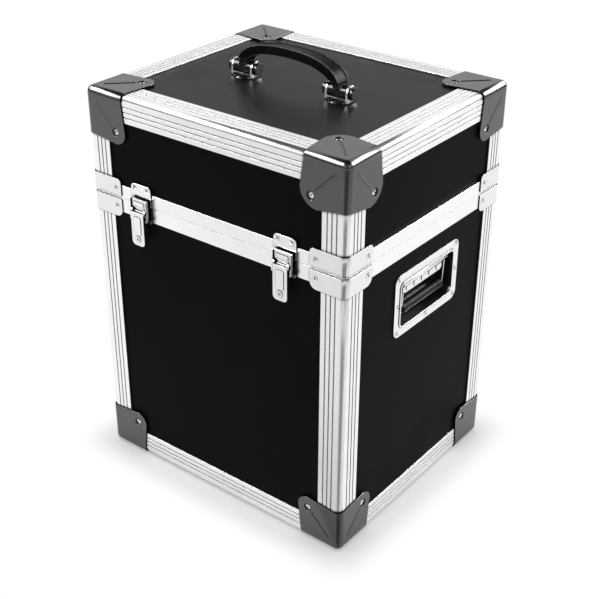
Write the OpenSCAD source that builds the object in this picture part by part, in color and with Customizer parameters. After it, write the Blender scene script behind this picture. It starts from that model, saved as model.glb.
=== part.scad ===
// Carrying case for long-playing records: a deep body and a shallow hinged lid of
// laminated plywood, edged with ribbed aluminium and cornered with pressed steel.
// Millimetres, +Z up, front at -Y, origin under the middle of the closed case.

/* [Case] */
// Width over the edge extrusions
case_w = 360; // [330:5:460]
// Depth over the edge extrusions
case_d = 308; // [280:5:400]
// Height over the edge extrusions
case_h = 480; // [450:5:560]
// Height of the split between body and lid, above the bottom extrusions
split_h = 356; // [280:2:376]
// Thickness of the laminated plywood panels
ply_t = 7; // [5:0.5:10]
// Thickness of the foam sheets in the floor and the lid
foam_t = 6; // [3:1:15]

/* [Edge extrusions] */
// Reach of each outer flange
flange_w = 31; // [28:0.5:34]
// Thickness of the outer flanges
flange_t = 2; // [1.6:0.1:2.6]
// Reach of each inner flange
inner_flange_w = 24; // [20:0.5:28]
// Thickness of the inner flanges
inner_flange_t = 1.5; // [1:0.1:2]
// Radius of the rounded nose
nose_r = 7; // [5:0.5:9]
// Width of the ribbing grooves
groove_w = 1.4; // [0.8:0.1:2]
// Depth of the ribbing grooves
groove_depth = 0.6; // [0.3:0.1:0.9]
// Distance from the flange's edge to its first groove
groove_edge = 6.7; // [4:0.1:8]
// Distance between grooves
groove_pitch = 5.9; // [3:0.1:6]
// Number of grooves in each flange
groove_count = 3; // [0:1:3]

/* [Split band] */
// Height of the lid's band
lid_band_h = 16; // [15:0.5:20]
// Height of the body's band
body_band_h = 17.5; // [16:0.5:20]
// Reach of the bands' inner wall
band_inner_h = 14; // [13.5:0.5:15]
// Thickness of the web that closes each band
band_web_t = 2; // [1.5:0.1:2.5]
// Gap between the closed bands
split_gap = 0.4; // [0.3:0.1:1]
// Thickness of the body band's tongue
tongue_t = 3.4; // [2:0.1:3.6]
// Height of the body band's tongue
tongue_h = 4; // [2:0.5:4.5]
// Clearance outside and above the tongue
tongue_gap = 0.3; // [0.2:0.1:0.6]
// Clearance inside the tongue, which lets the rear band swing off it
tongue_swing = 0.8; // [0.8:0.1:1.2]

/* [Corner guards] */
// Reach of each guard along the edges
guard_leg = 58; // [54:1:60]
// Thickness of the guards' steel
guard_t = 1.4; // [1.2:0.1:2]
// How far the guards' faces flare out past their folds
guard_flare = 4; // [1:0.5:6]
// Radius of the inner corners of the upper right guard at the front
broad_guard_r = 22; // [10:1:30]
// Radius of the other guards' inner corners
guard_r = 14; // [10:1:30]
// Distance from the case's edges to the guards' rivets
guard_rivet_in = 44; // [41:0.5:46]
// Radius of the round recess at each guard rivet
dimple_r = 5.2; // [4:0.1:6]
// Depth of that recess
dimple_depth = 1.1; // [0.8:0.1:1.2]
// Height of the crease pressed along each face's diagonal
crease_h = 0.8; // [0.3:0.1:1.2]
// Width of that crease at its foot
crease_w = 4; // [3:0.5:8]

/* [Split braces] */
// Reach of each brace round the corner
brace_leg = 45; // [40:1:48]
// Thickness of the braces
brace_t = 1.2; // [0.8:0.1:1.6]
// Height of the lid braces
lid_brace_h = 20; // [18:1:24]
// Height of the body braces
body_brace_h = 22; // [18:1:28]
// Distance from the split to the lid braces
lid_brace_gap = 3; // [2:0.5:4]
// Distance from the split to the body braces
body_brace_gap = 2; // [1:0.5:4]
// Radius of the lid braces' corners
lid_brace_r = 5; // [2:0.5:8]
// Radius of the body braces' corners
body_brace_r = 9; // [2:0.5:10]
// Distance from the brace's end to its rivet
brace_rivet_in = 7.5; // [6:0.5:10]
// Height of the band's rivets above and below the split
band_rivet_z = 11; // [9:0.5:12]

/* [Rivets] */
// Radius of the rivets' shanks
rivet_r = 1.6; // [1.2:0.1:1.8]
// Radius of the rivets' heads
rivet_head_r = 3.3; // [2.5:0.1:3.6]
// Height of the rivets' heads
rivet_head_h = 1; // [0.8:0.1:1.1]
// Radius of the clinched ends inside the case
rivet_tail_r = 2.6; // [2:0.1:3]
// Height of the clinched ends inside the case
rivet_tail_h = 0.8; // [0.5:0.1:1]
// Radius of the eye punched in each head
rivet_eye_r = 1; // [0.6:0.1:1.2]
// Depth of that eye
rivet_eye_depth = 0.7; // [0.3:0.1:0.9]

/* [Latches] */
// Distance from the case's sides to the middle of each latch
latch_inset = 77; // [70:1:110]
// Width of the keeper and base plates
latch_w = 30; // [29:0.5:34]
// Thickness of the latches' sheet steel
latch_t = 1.2; // [1:0.1:1.3]
// Height of the keeper plate above the split
keeper_top = 25; // [20:0.5:27]
// Drop of the base plate below the split
base_drop = 20; // [17:0.5:28]
// Width of the lever
lever_w = 19; // [17:0.5:19.4]
// Drop of the lever's tip below the split
lever_drop = 47; // [40:0.5:60]
// Height of the pad pressed into the lever
lever_pad_h = 0.6; // [0.3:0.1:0.8]
// Drop of the lever's pivot below the split
lever_pivot_z = 6; // [5.5:0.5:7]
// Distance from the lever's pivot to the hook's pivot
link_r = 9; // [8.5:0.5:10]
// Radius of the latch pins
latch_pin_r = 1.2; // [0.9:0.1:1.3]
// Gap between the hook's nose and the keeper's lip
hook_gap = 0.4; // [0.3:0.1:0.5]

/* [Hinges] */
// Distance from the case's sides to the middle of each hinge
hinge_inset = 85; // [84:1:110]
// Length of each hinge
hinge_len = 60; // [50:5:70]
// Height of each hinge leaf
hinge_leaf_h = 24; // [19:1:28]
// Thickness of the hinge leaves
hinge_t = 1.6; // [1.2:0.1:2]
// Radius of the hinge knuckles
knuckle_r = 5; // [4.5:0.1:5.5]
// Radius of the hinge pins
hinge_pin_r = 2; // [1.5:0.1:2.5]
// Number of knuckles on each hinge
knuckles = 5; // [3:2:7]

/* [Recessed side handles] */
// Length of the handle plate
dish_plate_l = 130; // [120:1:150]
// Height of the handle plate
dish_plate_h = 78; // [76:1:90]
// Thickness of the plate and dish
dish_t = 1.2; // [0.8:0.1:1.6]
// Radius of the plate's corners
dish_plate_r = 10; // [6:1:14]
// Length of the dish's mouth
dish_l = 107; // [100:1:110]
// Height of the dish's mouth
dish_h = 54; // [46:1:54]
// Depth of the dish behind the panel's face
dish_depth = 18; // [16.5:0.5:19]
// Height of the handle's middle below the split
dish_below_split = 79; // [70:1:200]
// Shift of the handle towards the rear
dish_y = 6; // [-20:1:20]
// Radius of the handle's pivot rod
rod_r = 2; // [1.5:0.1:2.2]
// Length from the pivot rod to the grip
bail_reach = 33; // [30:0.5:34]
// Radius of the rubber grip
grip_r = 6; // [5:0.1:6]
// Length of the rubber grip
grip_l = 82; // [70:1:84]

/* [Top handle] */
// Distance between the middles of the two brackets
handle_span = 133; // [110:1:160]
// Distance of the handle from the lid's middle towards the front
handle_fore = 12; // [0:1:20]
// Height of the pivot above the lid panel
handle_pivot_h = 11; // [10.5:0.5:14]
// Rise of the bow's middle line above the pivot
bow_rise = 30; // [18:0.5:40]
// Thickness of the bow
bow_t = 9; // [7:0.5:11]
// Width of the bow
bow_w = 21; // [17:0.5:21]
// Height of the two ridges along the bow
bow_ridge_h = 1.4; // [0.5:0.1:2]
// Radius of the bow's barrels
barrel_r = 8; // [6:0.1:8]
// Length of each barrel
barrel_l = 24; // [18:1:26]
// Reach of the brackets' feet either side of the pivot
foot_reach = 15; // [14:0.5:18]
// Width of the brackets' feet
foot_w = 16; // [12:0.5:20]
// Thickness of the brackets' lugs
lug_t = 3; // [2:0.5:4]
// Radius of the lugs' round tops
lug_r = 8.4; // [7:0.1:8.4]
// Radius of the handle's pins
handle_pin_r = 3; // [2:0.1:4]

/* [Hidden] */
$fn = 64;

// Clearance of a pin or shank in its hole
pin_gap = 0.05;
// Gap between neighbouring pieces that pass each other
pass_gap = 0.3;
// Saw cut between the mitred lengths of a band
saw_gap = 0.2;
// Overlap that makes a cut pass clean through
through = 1;

// Levels: the lower guards' undersides rest at z = 0
base_z = guard_t;
top_z = base_z + case_h;
split_z = base_z + split_h;
half_w = case_w / 2;
half_d = case_d / 2;
latch_x = half_w - latch_inset;
hinge_x = half_w - hinge_inset;

// Depths from the case's outer faces
panel_out = flange_t;
panel_in = flange_t + ply_t;
web_in = panel_in + inner_flange_t;
panel_end = web_in + pass_gap;

// Places of the hinge line and of the furthest point of the latches
knuckle_gap = 0.3;
hinge_off = knuckle_gap + knuckle_r;
stand_out = hinge_off + knuckle_r;

// ---------- shared shapes ----------

// Rounded rectangle about the origin; a radius of 0 leaves it square
module rounded_rect(w, h, r) {
    if (r > 0) {
        square([w - 2 * r, h], center = true);
        square([w, h - 2 * r], center = true);
        for (sx = [-1, 1], sy = [-1, 1])
            translate([sx * (w / 2 - r), sy * (h / 2 - r)]) circle(r);
    } else {
        square([w, h], center = true);
    }
}

// The case's plan, drawn in from its outer faces
module plan(inset) {
    rounded_rect(case_w - 2 * inset, case_d - 2 * inset, max(nose_r - inset, 0));
}

// Closed wall that follows the plan between two depths and two levels
module plan_wall(outer, inner, low, high) {
    translate([0, 0, low])
        linear_extrude(high - low)
            difference() {
                plan(outer);
                plan(inner);
            }
}

// Sheet drawn in X and Z, from y to y + t
module sheet_xz(y, t) {
    translate([0, y + t, 0]) rotate([90, 0, 0]) linear_extrude(t) children();
}

// Sheet drawn in Y and Z, from x to x + t
module sheet_yz(x, t) {
    translate([x, 0, 0]) rotate([90, 0, 90]) linear_extrude(t) children();
}

// Round bar along X, centred on x = 0
module bar_x(r, l) {
    rotate([0, 90, 0]) cylinder(r = r, h = l, center = true);
}

// One of the case's eight corners; inside it, the case lies towards +X, +Y and +Z
module at_corner(sx, sy, upper) {
    translate([sx * half_w, sy * half_d, upper ? top_z : base_z])
        mirror([sx > 0 ? 1 : 0, 0, 0])
            mirror([0, sy > 0 ? 1 : 0, 0])
                mirror([0, 0, upper ? 1 : 0])
                    children();
}

// One of the four walls: x along it, y inwards from its outer face, z up
module at_wall(side) {
    off = (side == "front" || side == "rear") ? half_d : half_w;
    turn = side == "front" ? 0 : side == "right" ? 90 : side == "rear" ? 180 : 270;
    rotate([0, 0, turn]) translate([0, -off, 0]) children();
}

function wall_half(side) = (side == "front" || side == "rear") ? half_w : half_d;

// ---------- rivets: [wall, x, z, depth of the head's seat, depth of the clinched end] ----------

WALLS = ["front", "right", "rear", "left"];
guard_seat = dimple_depth - guard_t;
hinge_rivet_x = hinge_len / 2 - 8;
latch_rivet_x = rivet_head_r + 1.2;
keeper_rivet_x = latch_w / 2 - 5.5;
keeper_rivet_z = keeper_top - 5;
dish_z = split_z - dish_below_split;
dish_rivet_y = dish_plate_l / 2 - 6;
dish_rivet_z = dish_plate_h / 2 - 5.5;

function guard_rivets(z) = [
    for (w = WALLS, s = [-1, 1]) [w, s * (wall_half(w) - guard_rivet_in), z, guard_seat, panel_in]
];
function brace_rivets(z) = [
    for (w = WALLS, s = [-1, 1]) [w, s * (wall_half(w) - brace_leg + brace_rivet_in), z, -brace_t, web_in]
];
function hinge_rivets(z) = [
    for (h = [-1, 1], i = [-1, 0, 1]) ["rear", h * hinge_x + i * hinge_rivet_x, z, -hinge_t, web_in]
];
function latch_base_rivets() = [
    for (l = [-1, 1], s = [-1, 1]) ["front", l * latch_x + s * latch_rivet_x, split_z - band_rivet_z,
        -latch_t, web_in]
];
function keeper_rivets() = [
    for (l = [-1, 1], s = [-1, 1]) ["front", l * latch_x + s * keeper_rivet_x, split_z + keeper_rivet_z,
        -latch_t, panel_in]
];
function dish_rivets() = [
    for (w = ["left", "right"], p = [
        [-dish_rivet_y, -dish_rivet_z], [dish_rivet_y, -dish_rivet_z], [0, -dish_rivet_z],
        [-dish_rivet_y, dish_rivet_z], [dish_rivet_y, dish_rivet_z], [-dish_rivet_y, 0], [dish_rivet_y, 0]
    ]) [w, (w == "right" ? 1 : -1) * dish_y + p[0], dish_z + p[1], panel_out - dish_t, panel_in]
];

BODY_RIVETS = concat(
    guard_rivets(base_z + guard_rivet_in), brace_rivets(split_z - band_rivet_z),
    hinge_rivets(split_z - band_rivet_z), latch_base_rivets(), dish_rivets()
);
LID_RIVETS = concat(
    guard_rivets(top_z - guard_rivet_in), brace_rivets(split_z + band_rivet_z),
    hinge_rivets(split_z + band_rivet_z), keeper_rivets()
);

// Flat faces: [x, y, depth of the head's seat]
bracket_rivet_y = foot_reach - 3.4;
bracket_base_t = 1.5;
GUARD_FLAT_RIVETS = [
    for (sx = [-1, 1], sy = [-1, 1])
        [sx * (half_w - guard_rivet_in), sy * (half_d - guard_rivet_in), guard_seat]
];
BRACKET_RIVETS = [
    for (sx = [-1, 1], sy = [-1, 1])
        [sx * handle_span / 2, sy * bracket_rivet_y - handle_fore, panel_out - bracket_base_t]
];

// Domed head with its eye below z = 0, shank and clinched end above it
module rivet(grip) {
    dome_r = (rivet_head_r * rivet_head_r + rivet_head_h * rivet_head_h) / (2 * rivet_head_h);
    difference() {
        union() {
            intersection() {
                translate([0, 0, dome_r - rivet_head_h]) sphere(dome_r);
                translate([0, 0, -rivet_head_h]) cylinder(r = rivet_head_r, h = rivet_head_h);
            }
            translate([0, 0, -rivet_head_h / 4]) cylinder(r = rivet_r, h = grip + rivet_head_h / 4);
            translate([0, 0, grip]) cylinder(r = rivet_tail_r, h = rivet_tail_h);
        }
        translate([0, 0, -rivet_head_h - through]) cylinder(r = rivet_eye_r, h = rivet_eye_depth + through);
    }
}

// The rivets of a list, at their places in the walls
module each_wall_rivet(list) {
    for (r = list)
        at_wall(r[0])
            translate([r[1], r[3], r[2]])
                rotate([-90, 0, 0])
                    rivet(r[4] - r[3]);
}

// The holes for those rivets, in all walls or some
module wall_bores(list, walls = WALLS) {
    for (r = list)
        if (len([for (w = walls) if (w == r[0]) 1]) > 0)
            at_wall(r[0])
                translate([r[1], r[3] - rivet_head_h - through, r[2]])
                    rotate([-90, 0, 0])
                        cylinder(r = rivet_r + pin_gap, h = r[4] - r[3] + rivet_head_h + 2 * through);
}

// Rivets through the top (upper) or the floor of the case
module each_flat_rivet(list, upper) {
    for (r = list)
        translate([r[0], r[1], upper ? top_z - r[2] : base_z + r[2]])
            mirror([0, 0, upper ? 1 : 0])
                rivet(panel_in - r[2]);
}

module flat_bores(list, upper) {
    for (r = list)
        translate([r[0], r[1], upper ? top_z : base_z])
            mirror([0, 0, upper ? 1 : 0])
                translate([0, 0, -guard_t - through])
                    cylinder(r = rivet_r + pin_gap, h = panel_in + guard_t + 2 * through);
}

// ---------- panels ----------

panel_low = base_z + panel_end;
body_panel_high = split_z - band_web_t - pass_gap;
groove_roof = split_gap + tongue_h + tongue_gap;
lid_panel_low = split_z + groove_roof + band_web_t + pass_gap;
lid_panel_high = top_z - panel_end;

// Upright panel in one wall, between two levels
module wall_panel(side, low, high) {
    half = wall_half(side) - panel_end;
    at_wall(side)
        translate([-half, panel_out, low])
            cube([2 * half, ply_t, high - low]);
}

module body_front_panel() {
    color("#1b1b1c")
        difference() {
            wall_panel("front", panel_low, body_panel_high);
            wall_bores(BODY_RIVETS, ["front"]);
        }
}

module body_rear_panel() {
    color("#1b1b1c")
        difference() {
            wall_panel("rear", panel_low, body_panel_high);
            wall_bores(BODY_RIVETS, ["rear"]);
        }
}

// Side panel with the cut-out that takes the handle's dish
module body_side_panel(side) {
    shift = side == "right" ? dish_y : -dish_y;
    color("#1b1b1c")
        difference() {
            wall_panel(side, panel_low, body_panel_high);
            wall_bores(BODY_RIVETS, [side]);
            at_wall(side)
                translate([shift, panel_out - through, dish_z])
                    sheet_xz(0, ply_t + 2 * through)
                        dish_outline(dish_t + pass_gap);
        }
}

module body_left_panel() {
    body_side_panel("left");
}

module body_right_panel() {
    body_side_panel("right");
}

module body_floor_panel() {
    color("#1b1b1c")
        difference() {
            translate([-half_w + panel_end, -half_d + panel_end, base_z + panel_out])
                cube([case_w - 2 * panel_end, case_d - 2 * panel_end, ply_t]);
            flat_bores(GUARD_FLAT_RIVETS, false);
        }
}

module lid_wall_panel(side) {
    color("#1b1b1c")
        difference() {
            wall_panel(side, lid_panel_low, lid_panel_high);
            wall_bores(LID_RIVETS, [side]);
        }
}

module lid_front_panel() {
    lid_wall_panel("front");
}

module lid_rear_panel() {
    lid_wall_panel("rear");
}

module lid_left_panel() {
    lid_wall_panel("left");
}

module lid_right_panel() {
    lid_wall_panel("right");
}

module lid_top_panel() {
    color("#3a3a3b")
        difference() {
            translate([-half_w + panel_end, -half_d + panel_end, top_z - panel_in])
                cube([case_w - 2 * panel_end, case_d - 2 * panel_end, ply_t]);
            flat_bores(GUARD_FLAT_RIVETS, true);
            flat_bores(BRACKET_RIVETS, true);
        }
}

// ---------- ribbed double-angle extrusions ----------

// The angle's corner square with a round nose, between an inset and the flanges' edges
module nosed_square(inset, reach) {
    translate([nose_r, inset]) square([reach - nose_r, reach - inset]);
    translate([inset, nose_r]) square([reach - inset, reach - nose_r]);
    translate([nose_r, nose_r]) circle(nose_r - inset);
}

// Ribbing grooves in the outer face of the flange along X
module grooves_2d() {
    for (i = [0 : 1 : groove_count - 1])
        translate([flange_w - groove_edge - i * groove_pitch - groove_w / 2, -through])
            square([groove_w, groove_depth + through]);
}

// Section of the extrusion: ribbed outer angle with a round nose, and the inner angle
// that closes the nose and holds the panels against the flanges
module double_angle_2d() {
    far = flange_w + through;
    difference() {
        nosed_square(0, flange_w);
        intersection() {
            nosed_square(flange_t, panel_in);
            square(panel_in);
        }
        translate([web_in, web_in]) square(far);
        for (m = [0, 1])
            mirror([m, -m]) {
                grooves_2d();
                translate([web_in, panel_out]) square([far, ply_t]);
                translate([inner_flange_w, panel_out]) square([far, far]);
            }
    }
}

// Upright length of extrusion at one corner, between two heights above or below it
module post(sx, sy, low, high) {
    at_corner(sx, sy, false)
        translate([0, 0, low - base_z])
            linear_extrude(high - low) double_angle_2d();
}

module body_posts() {
    color("#c9cccf")
        for (sx = [-1, 1], sy = [-1, 1])
            post(sx, sy, base_z + flange_w, split_z - body_band_h);
}

module lid_posts() {
    color("#c9cccf")
        for (sx = [-1, 1], sy = [-1, 1])
            post(sx, sy, split_z + lid_band_h, top_z - flange_w);
}

// Length along X at the front or rear, top or bottom
module edge_x(sy, upper) {
    l = case_w - 2 * flange_w;
    color("#c9cccf")
        at_corner(-1, sy, upper)
            translate([flange_w, 0, 0]) rotate([90, 0, 90]) linear_extrude(l) double_angle_2d();
}

// Length along Y at the left or right, top or bottom
module edge_y(sx, upper) {
    l = case_d - 2 * flange_w;
    color("#c9cccf")
        at_corner(sx, -1, upper)
            translate([0, flange_w + l, 0]) rotate([90, 0, 0]) linear_extrude(l) double_angle_2d();
}

module lid_edge_front() {
    edge_x(-1, true);
}

module lid_edge_rear() {
    edge_x(1, true);
}

module lid_edge_left() {
    edge_y(-1, true);
}

module lid_edge_right() {
    edge_y(1, true);
}

module floor_edge_front() {
    edge_x(-1, false);
}

module floor_edge_rear() {
    edge_x(1, false);
}

module floor_edge_left() {
    edge_y(-1, false);
}

module floor_edge_right() {
    edge_y(1, false);
}

// ---------- tongue and groove bands at the split ----------

tongue_out = panel_out + 1.5;
groove_out = tongue_out - tongue_gap;
groove_in = tongue_out + tongue_t + tongue_swing;

// Cuts a closed band into its four mitred lengths
module mitred() {
    margin = 5;
    reach = flange_w;
    for (side = WALLS) {
        half = wall_half(side);
        intersection() {
            children();
            at_wall(side)
                linear_extrude(top_z)
                    polygon([
                        [-half - margin + saw_gap, -margin],
                        [half + margin - saw_gap, -margin],
                        [half - reach - saw_gap, reach],
                        [-half + reach + saw_gap, reach]
                    ]);
        }
    }
}

module body_band() {
    color("#d4d7d9")
        difference() {
            mitred() {
                union() {
                    plan_wall(0, flange_t, split_z - body_band_h, split_z);
                    plan_wall(panel_in, web_in, split_z - band_inner_h, split_z);
                    plan_wall(0, web_in, split_z - band_web_t, split_z);
                    plan_wall(tongue_out, tongue_out + tongue_t, split_z - band_web_t, split_z + tongue_h);
                }
            }
            wall_bores(BODY_RIVETS);
        }
}

module lid_band() {
    low = split_z + split_gap;
    roof = split_z + groove_roof;
    color("#d4d7d9")
        difference() {
            mitred() {
                union() {
                    plan_wall(0, flange_t, low, split_z + lid_band_h);
                    plan_wall(0, groove_out, low, roof + band_web_t);
                    plan_wall(groove_in, web_in, low, roof + band_web_t);
                    plan_wall(panel_in, web_in, low, split_z + band_inner_h);
                    plan_wall(0, web_in, roof, roof + band_web_t);
                }
            }
            wall_bores(LID_RIVETS);
        }
}

// ---------- pressed steel corner guards ----------

// Solid corner block with rounded edges and a ball corner, grown by t past the case
module corner_block(t, r, reach) {
    c = r - t;
    translate([c, c, -t]) cube([reach - c, reach - c, reach + t]);
    translate([c, -t, c]) cube([reach - c, reach + t, reach - c]);
    translate([-t, c, c]) cube([reach + t, reach - c, reach - c]);
    translate([c, c, c]) sphere(r);
    translate([c, c, c]) cylinder(r = r, h = reach - c);
    translate([c, c, c]) rotate([0, 90, 0]) cylinder(r = r, h = reach - c);
    translate([c, c, c]) rotate([-90, 0, 0]) cylinder(r = r, h = reach - c);
}

// The guard's faces in turn, each as if it lay in the XY plane
module on_face(face) {
    if (face == 0) children();
    if (face == 1) mirror([1, 0, -1]) children();
    if (face == 2) mirror([0, 1, -1]) children();
}

// Takes the corner off one face, leaving it round, and slants its two sides in to the folds
module face_trim(r) {
    fold_leg = guard_leg - guard_flare;
    far = guard_leg + 2 * through;
    deep = guard_t + crease_h + through;
    translate([guard_leg - r, guard_leg - r, -deep])
        difference() {
            cube([r + through, r + through, deep]);
            translate([0, 0, -through]) cylinder(r = r, h = deep + 2 * through);
        }
    for (m = [0, 1])
        mirror([m, -m, 0])
            translate([0, 0, -deep])
                linear_extrude(deep + nose_r)
                    polygon([
                        [fold_leg, -deep], [fold_leg, nose_r], [guard_leg, guard_leg - r],
                        [far, guard_leg - r], [far, -deep]
                    ]);
}

// Crease along a face's diagonal, from the ball corner to the rivet's recess
module face_crease() {
    start = 2 * nose_r;
    finish = guard_rivet_in - dimple_r;
    rotate([0, 0, 45])
        translate([start * sqrt(2), 0, -guard_t])
            rotate([90, 0, 90])
                linear_extrude((finish - start) * sqrt(2))
                    polygon([[-crease_w / 2, 0.4], [crease_w / 2, 0.4], [0, -crease_h]]);
}

guard_inner_r = nose_r - pass_gap;

// One guard in its corner's frame; the face on the floor has no crease
module guard(corner_r, floor_face) {
    color("#5a5a5c")
        difference() {
            union() {
                difference() {
                    union() {
                        corner_block(guard_t, guard_inner_r + guard_t, guard_leg);
                        for (face = [0 : 2])
                            if (face > 0 || !floor_face)
                                on_face(face) face_crease();
                    }
                    corner_block(0, guard_inner_r, guard_leg + through);
                    for (face = [0 : 2])
                        on_face(face) face_trim(corner_r);
                }
                for (face = [0 : 2])
                    on_face(face)
                        translate([guard_rivet_in, guard_rivet_in, -guard_t])
                            cylinder(r = dimple_r + 1, h = guard_t + panel_out);
            }
            for (face = [0 : 2])
                on_face(face)
                    translate([guard_rivet_in, guard_rivet_in, -guard_t - through]) {
                        cylinder(r = dimple_r, h = dimple_depth + through);
                        cylinder(r = rivet_r + pin_gap, h = guard_t + panel_out + 2 * through);
                    }
        }
}

module upper_guard_front_left() {
    at_corner(-1, -1, true) guard(guard_r, false);
}

module upper_guard_front_right() {
    at_corner(1, -1, true) guard(broad_guard_r, false);
}

module upper_guard_rear_left() {
    at_corner(-1, 1, true) guard(guard_r, false);
}

module upper_guard_rear_right() {
    at_corner(1, 1, true) guard(guard_r, false);
}

module lower_guard_front_left() {
    at_corner(-1, -1, false) guard(guard_r, true);
}

module lower_guard_front_right() {
    at_corner(1, -1, false) guard(guard_r, true);
}

module lower_guard_rear_left() {
    at_corner(-1, 1, false) guard(guard_r, true);
}

module lower_guard_rear_right() {
    at_corner(1, 1, false) guard(guard_r, true);
}

// ---------- braces bent round the corners at the split ----------

// Outline of one leg from its end (x = brace_leg) past the bend (x < 0); corner radius at z = h
module brace_leg_2d(h, r) {
    translate([-2 * brace_t, 0]) square([brace_leg + 2 * brace_t, h - r]);
    translate([-2 * brace_t, 0]) square([brace_leg + 2 * brace_t - r, h]);
    translate([brace_leg - r, h - r]) circle(r);
}

// One brace in the frame of its corner, standing on z = 0
module brace(h, r) {
    deep = brace_leg + 3 * brace_t;
    intersection() {
        translate([half_w, half_d, 0])
            linear_extrude(h)
                difference() {
                    plan(-brace_t);
                    plan(0);
                }
        translate([0, deep - 2 * brace_t, 0]) rotate([90, 0, 0]) linear_extrude(deep) brace_leg_2d(h, r);
        translate([-2 * brace_t, 0, 0])
            rotate([90, 0, 90]) linear_extrude(deep) brace_leg_2d(h, r);
    }
}

module lid_braces() {
    color("#c4c6c8")
        difference() {
            for (sx = [-1, 1], sy = [-1, 1])
                at_corner(sx, sy, false)
                    translate([0, 0, split_h + lid_brace_gap]) brace(lid_brace_h, lid_brace_r);
            wall_bores(LID_RIVETS);
        }
}

module body_braces() {
    color("#c4c6c8")
        difference() {
            for (sx = [-1, 1], sy = [-1, 1])
                at_corner(sx, sy, false)
                    translate([0, 0, split_h - body_brace_gap])
                        mirror([0, 0, 1]) brace(body_brace_h, body_brace_r);
            wall_bores(BODY_RIVETS);
        }
}

module body_rivets() {
    color("#d9dbdc") {
        each_wall_rivet(BODY_RIVETS);
        each_flat_rivet(GUARD_FLAT_RIVETS, false);
    }
}

module lid_rivets() {
    color("#d9dbdc") {
        each_wall_rivet(LID_RIVETS);
        each_flat_rivet(GUARD_FLAT_RIVETS, true);
        each_flat_rivet(BRACKET_RIVETS, true);
    }
}

// ---------- draw latches ----------
// Drawn about the split's middle line at the front face: y = -depth in front of it

lever_wall_t = latch_t;
lever_wall_drop = 22;
lever_front = stand_out - lever_pad_h;
lever_nose_r = 4.1;
pivot_y = -(lever_nose_r + latch_t + pass_gap);
pivot_z = -lever_pivot_z;
link_z = pivot_z - link_r;
ear_x = lever_w / 2 + pass_gap;
arm_x = ear_x + latch_t + pass_gap;
arm_out = arm_x + latch_t;
lip_front = latch_t + 2;
hook_back = lip_front + hook_gap + 1;
hook_front = hook_back + latch_t;
lever_top_z = pivot_z + 0.5;
lip_x = 9;

module at_latch(sx) {
    translate([sx * latch_x, -half_d, split_z]) children();
}

// Plate outline from z = 0 up to h, half_x either side, with round top corners
module tab_2d(half_x, h, r) {
    translate([-half_x, 0]) square([2 * half_x, h - r]);
    translate([-half_x + r, 0]) square([2 * (half_x - r), h]);
    for (s = [-1, 1])
        translate([s * (half_x - r), h - r]) circle(r);
}

module latch_keepers() {
    color("#dfe1e2")
        difference() {
            for (sx = [-1, 1])
                at_latch(sx) {
                    translate([0, 0, 1]) sheet_xz(-latch_t, latch_t) tab_2d(latch_w / 2, keeper_top - 1, 5);
                    sheet_yz(-lip_x, 2 * lip_x)
                        polygon([
                            [-latch_t / 2, 3.5], [-lip_front, 4.6], [-lip_front, 6.6], [-latch_t / 2, 7.2]
                        ]);
                }
            wall_bores(LID_RIVETS);
        }
}

// Base plate with two ears that carry the lever's pivot
module latch_base() {
    difference() {
        union() {
            translate([0, 0, -1])
                mirror([0, 0, 1]) sheet_xz(-latch_t, latch_t) tab_2d(latch_w / 2, base_drop - 1, 4);
            for (x = [-ear_x - latch_t, ear_x])
                sheet_yz(x, latch_t) {
                    translate([pivot_y, pivot_z]) circle(4);
                    translate([pivot_y, pivot_z - 4]) square([-pivot_y - latch_t / 2, 8]);
                }
        }
        translate([0, pivot_y, pivot_z]) bar_x(latch_pin_r + pin_gap, latch_w);
    }
}

module latch_base_at(sx) {
    color("#dfe1e2")
        difference() {
            at_latch(sx) latch_base();
            wall_bores(latch_base_rivets());
        }
}

module latch_base_left() {
    latch_base_at(-1);
}

module latch_base_right() {
    latch_base_at(1);
}

module latch_base_pins() {
    color("#b9bbbd")
        for (sx = [-1, 1])
            at_latch(sx) translate([0, pivot_y, pivot_z]) bar_x(latch_pin_r, 2 * (ear_x + latch_t));
}

// Channel-shaped lever with a pressed pad and a round eye near its tip
module latch_lever() {
    half = lever_w / 2;
    wall_low = pivot_z - lever_wall_drop;
    tip_r = 5;
    eye_z = -lever_drop + 8;
    pad_low = eye_z + 5.5;
    pad_high = pivot_z - 5;
    difference() {
        union() {
            for (x = [-half, half - lever_wall_t])
                sheet_yz(x, lever_wall_t) {
                    translate([pivot_y, pivot_z]) circle(lever_nose_r);
                    polygon([
                        [-lever_front, lever_top_z], [-lever_front, -lever_drop + tip_r],
                        [-lever_front + lever_wall_t, -lever_drop + tip_r], [pivot_y + 2.2, wall_low],
                        [pivot_y + 2.2, lever_top_z]
                    ]);
                }
            translate([0, 0, lever_top_z])
                mirror([0, 0, 1])
                    sheet_xz(-lever_front, lever_wall_t) tab_2d(half, lever_drop + lever_top_z, tip_r);
            translate([0, 0, (pad_low + pad_high) / 2])
                sheet_xz(-stand_out, lever_pad_h + lever_wall_t / 2)
                    rounded_rect(lever_w - 9, pad_high - pad_low, 2.5);
            translate([0, 0, eye_z])
                sheet_xz(-stand_out, lever_pad_h + lever_wall_t / 2) circle(3.6);
        }
        translate([0, pivot_y, pivot_z]) bar_x(latch_pin_r + pin_gap, latch_w);
        translate([0, pivot_y, link_z]) bar_x(latch_pin_r + pin_gap, latch_w);
        translate([0, 0, eye_z]) sheet_xz(-stand_out - through, lever_pad_h + through) circle(1.8);
    }
}

module latch_lever_left() {
    color("#dfe1e2") at_latch(-1) latch_lever();
}

module latch_lever_right() {
    color("#dfe1e2") at_latch(1) latch_lever();
}

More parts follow.
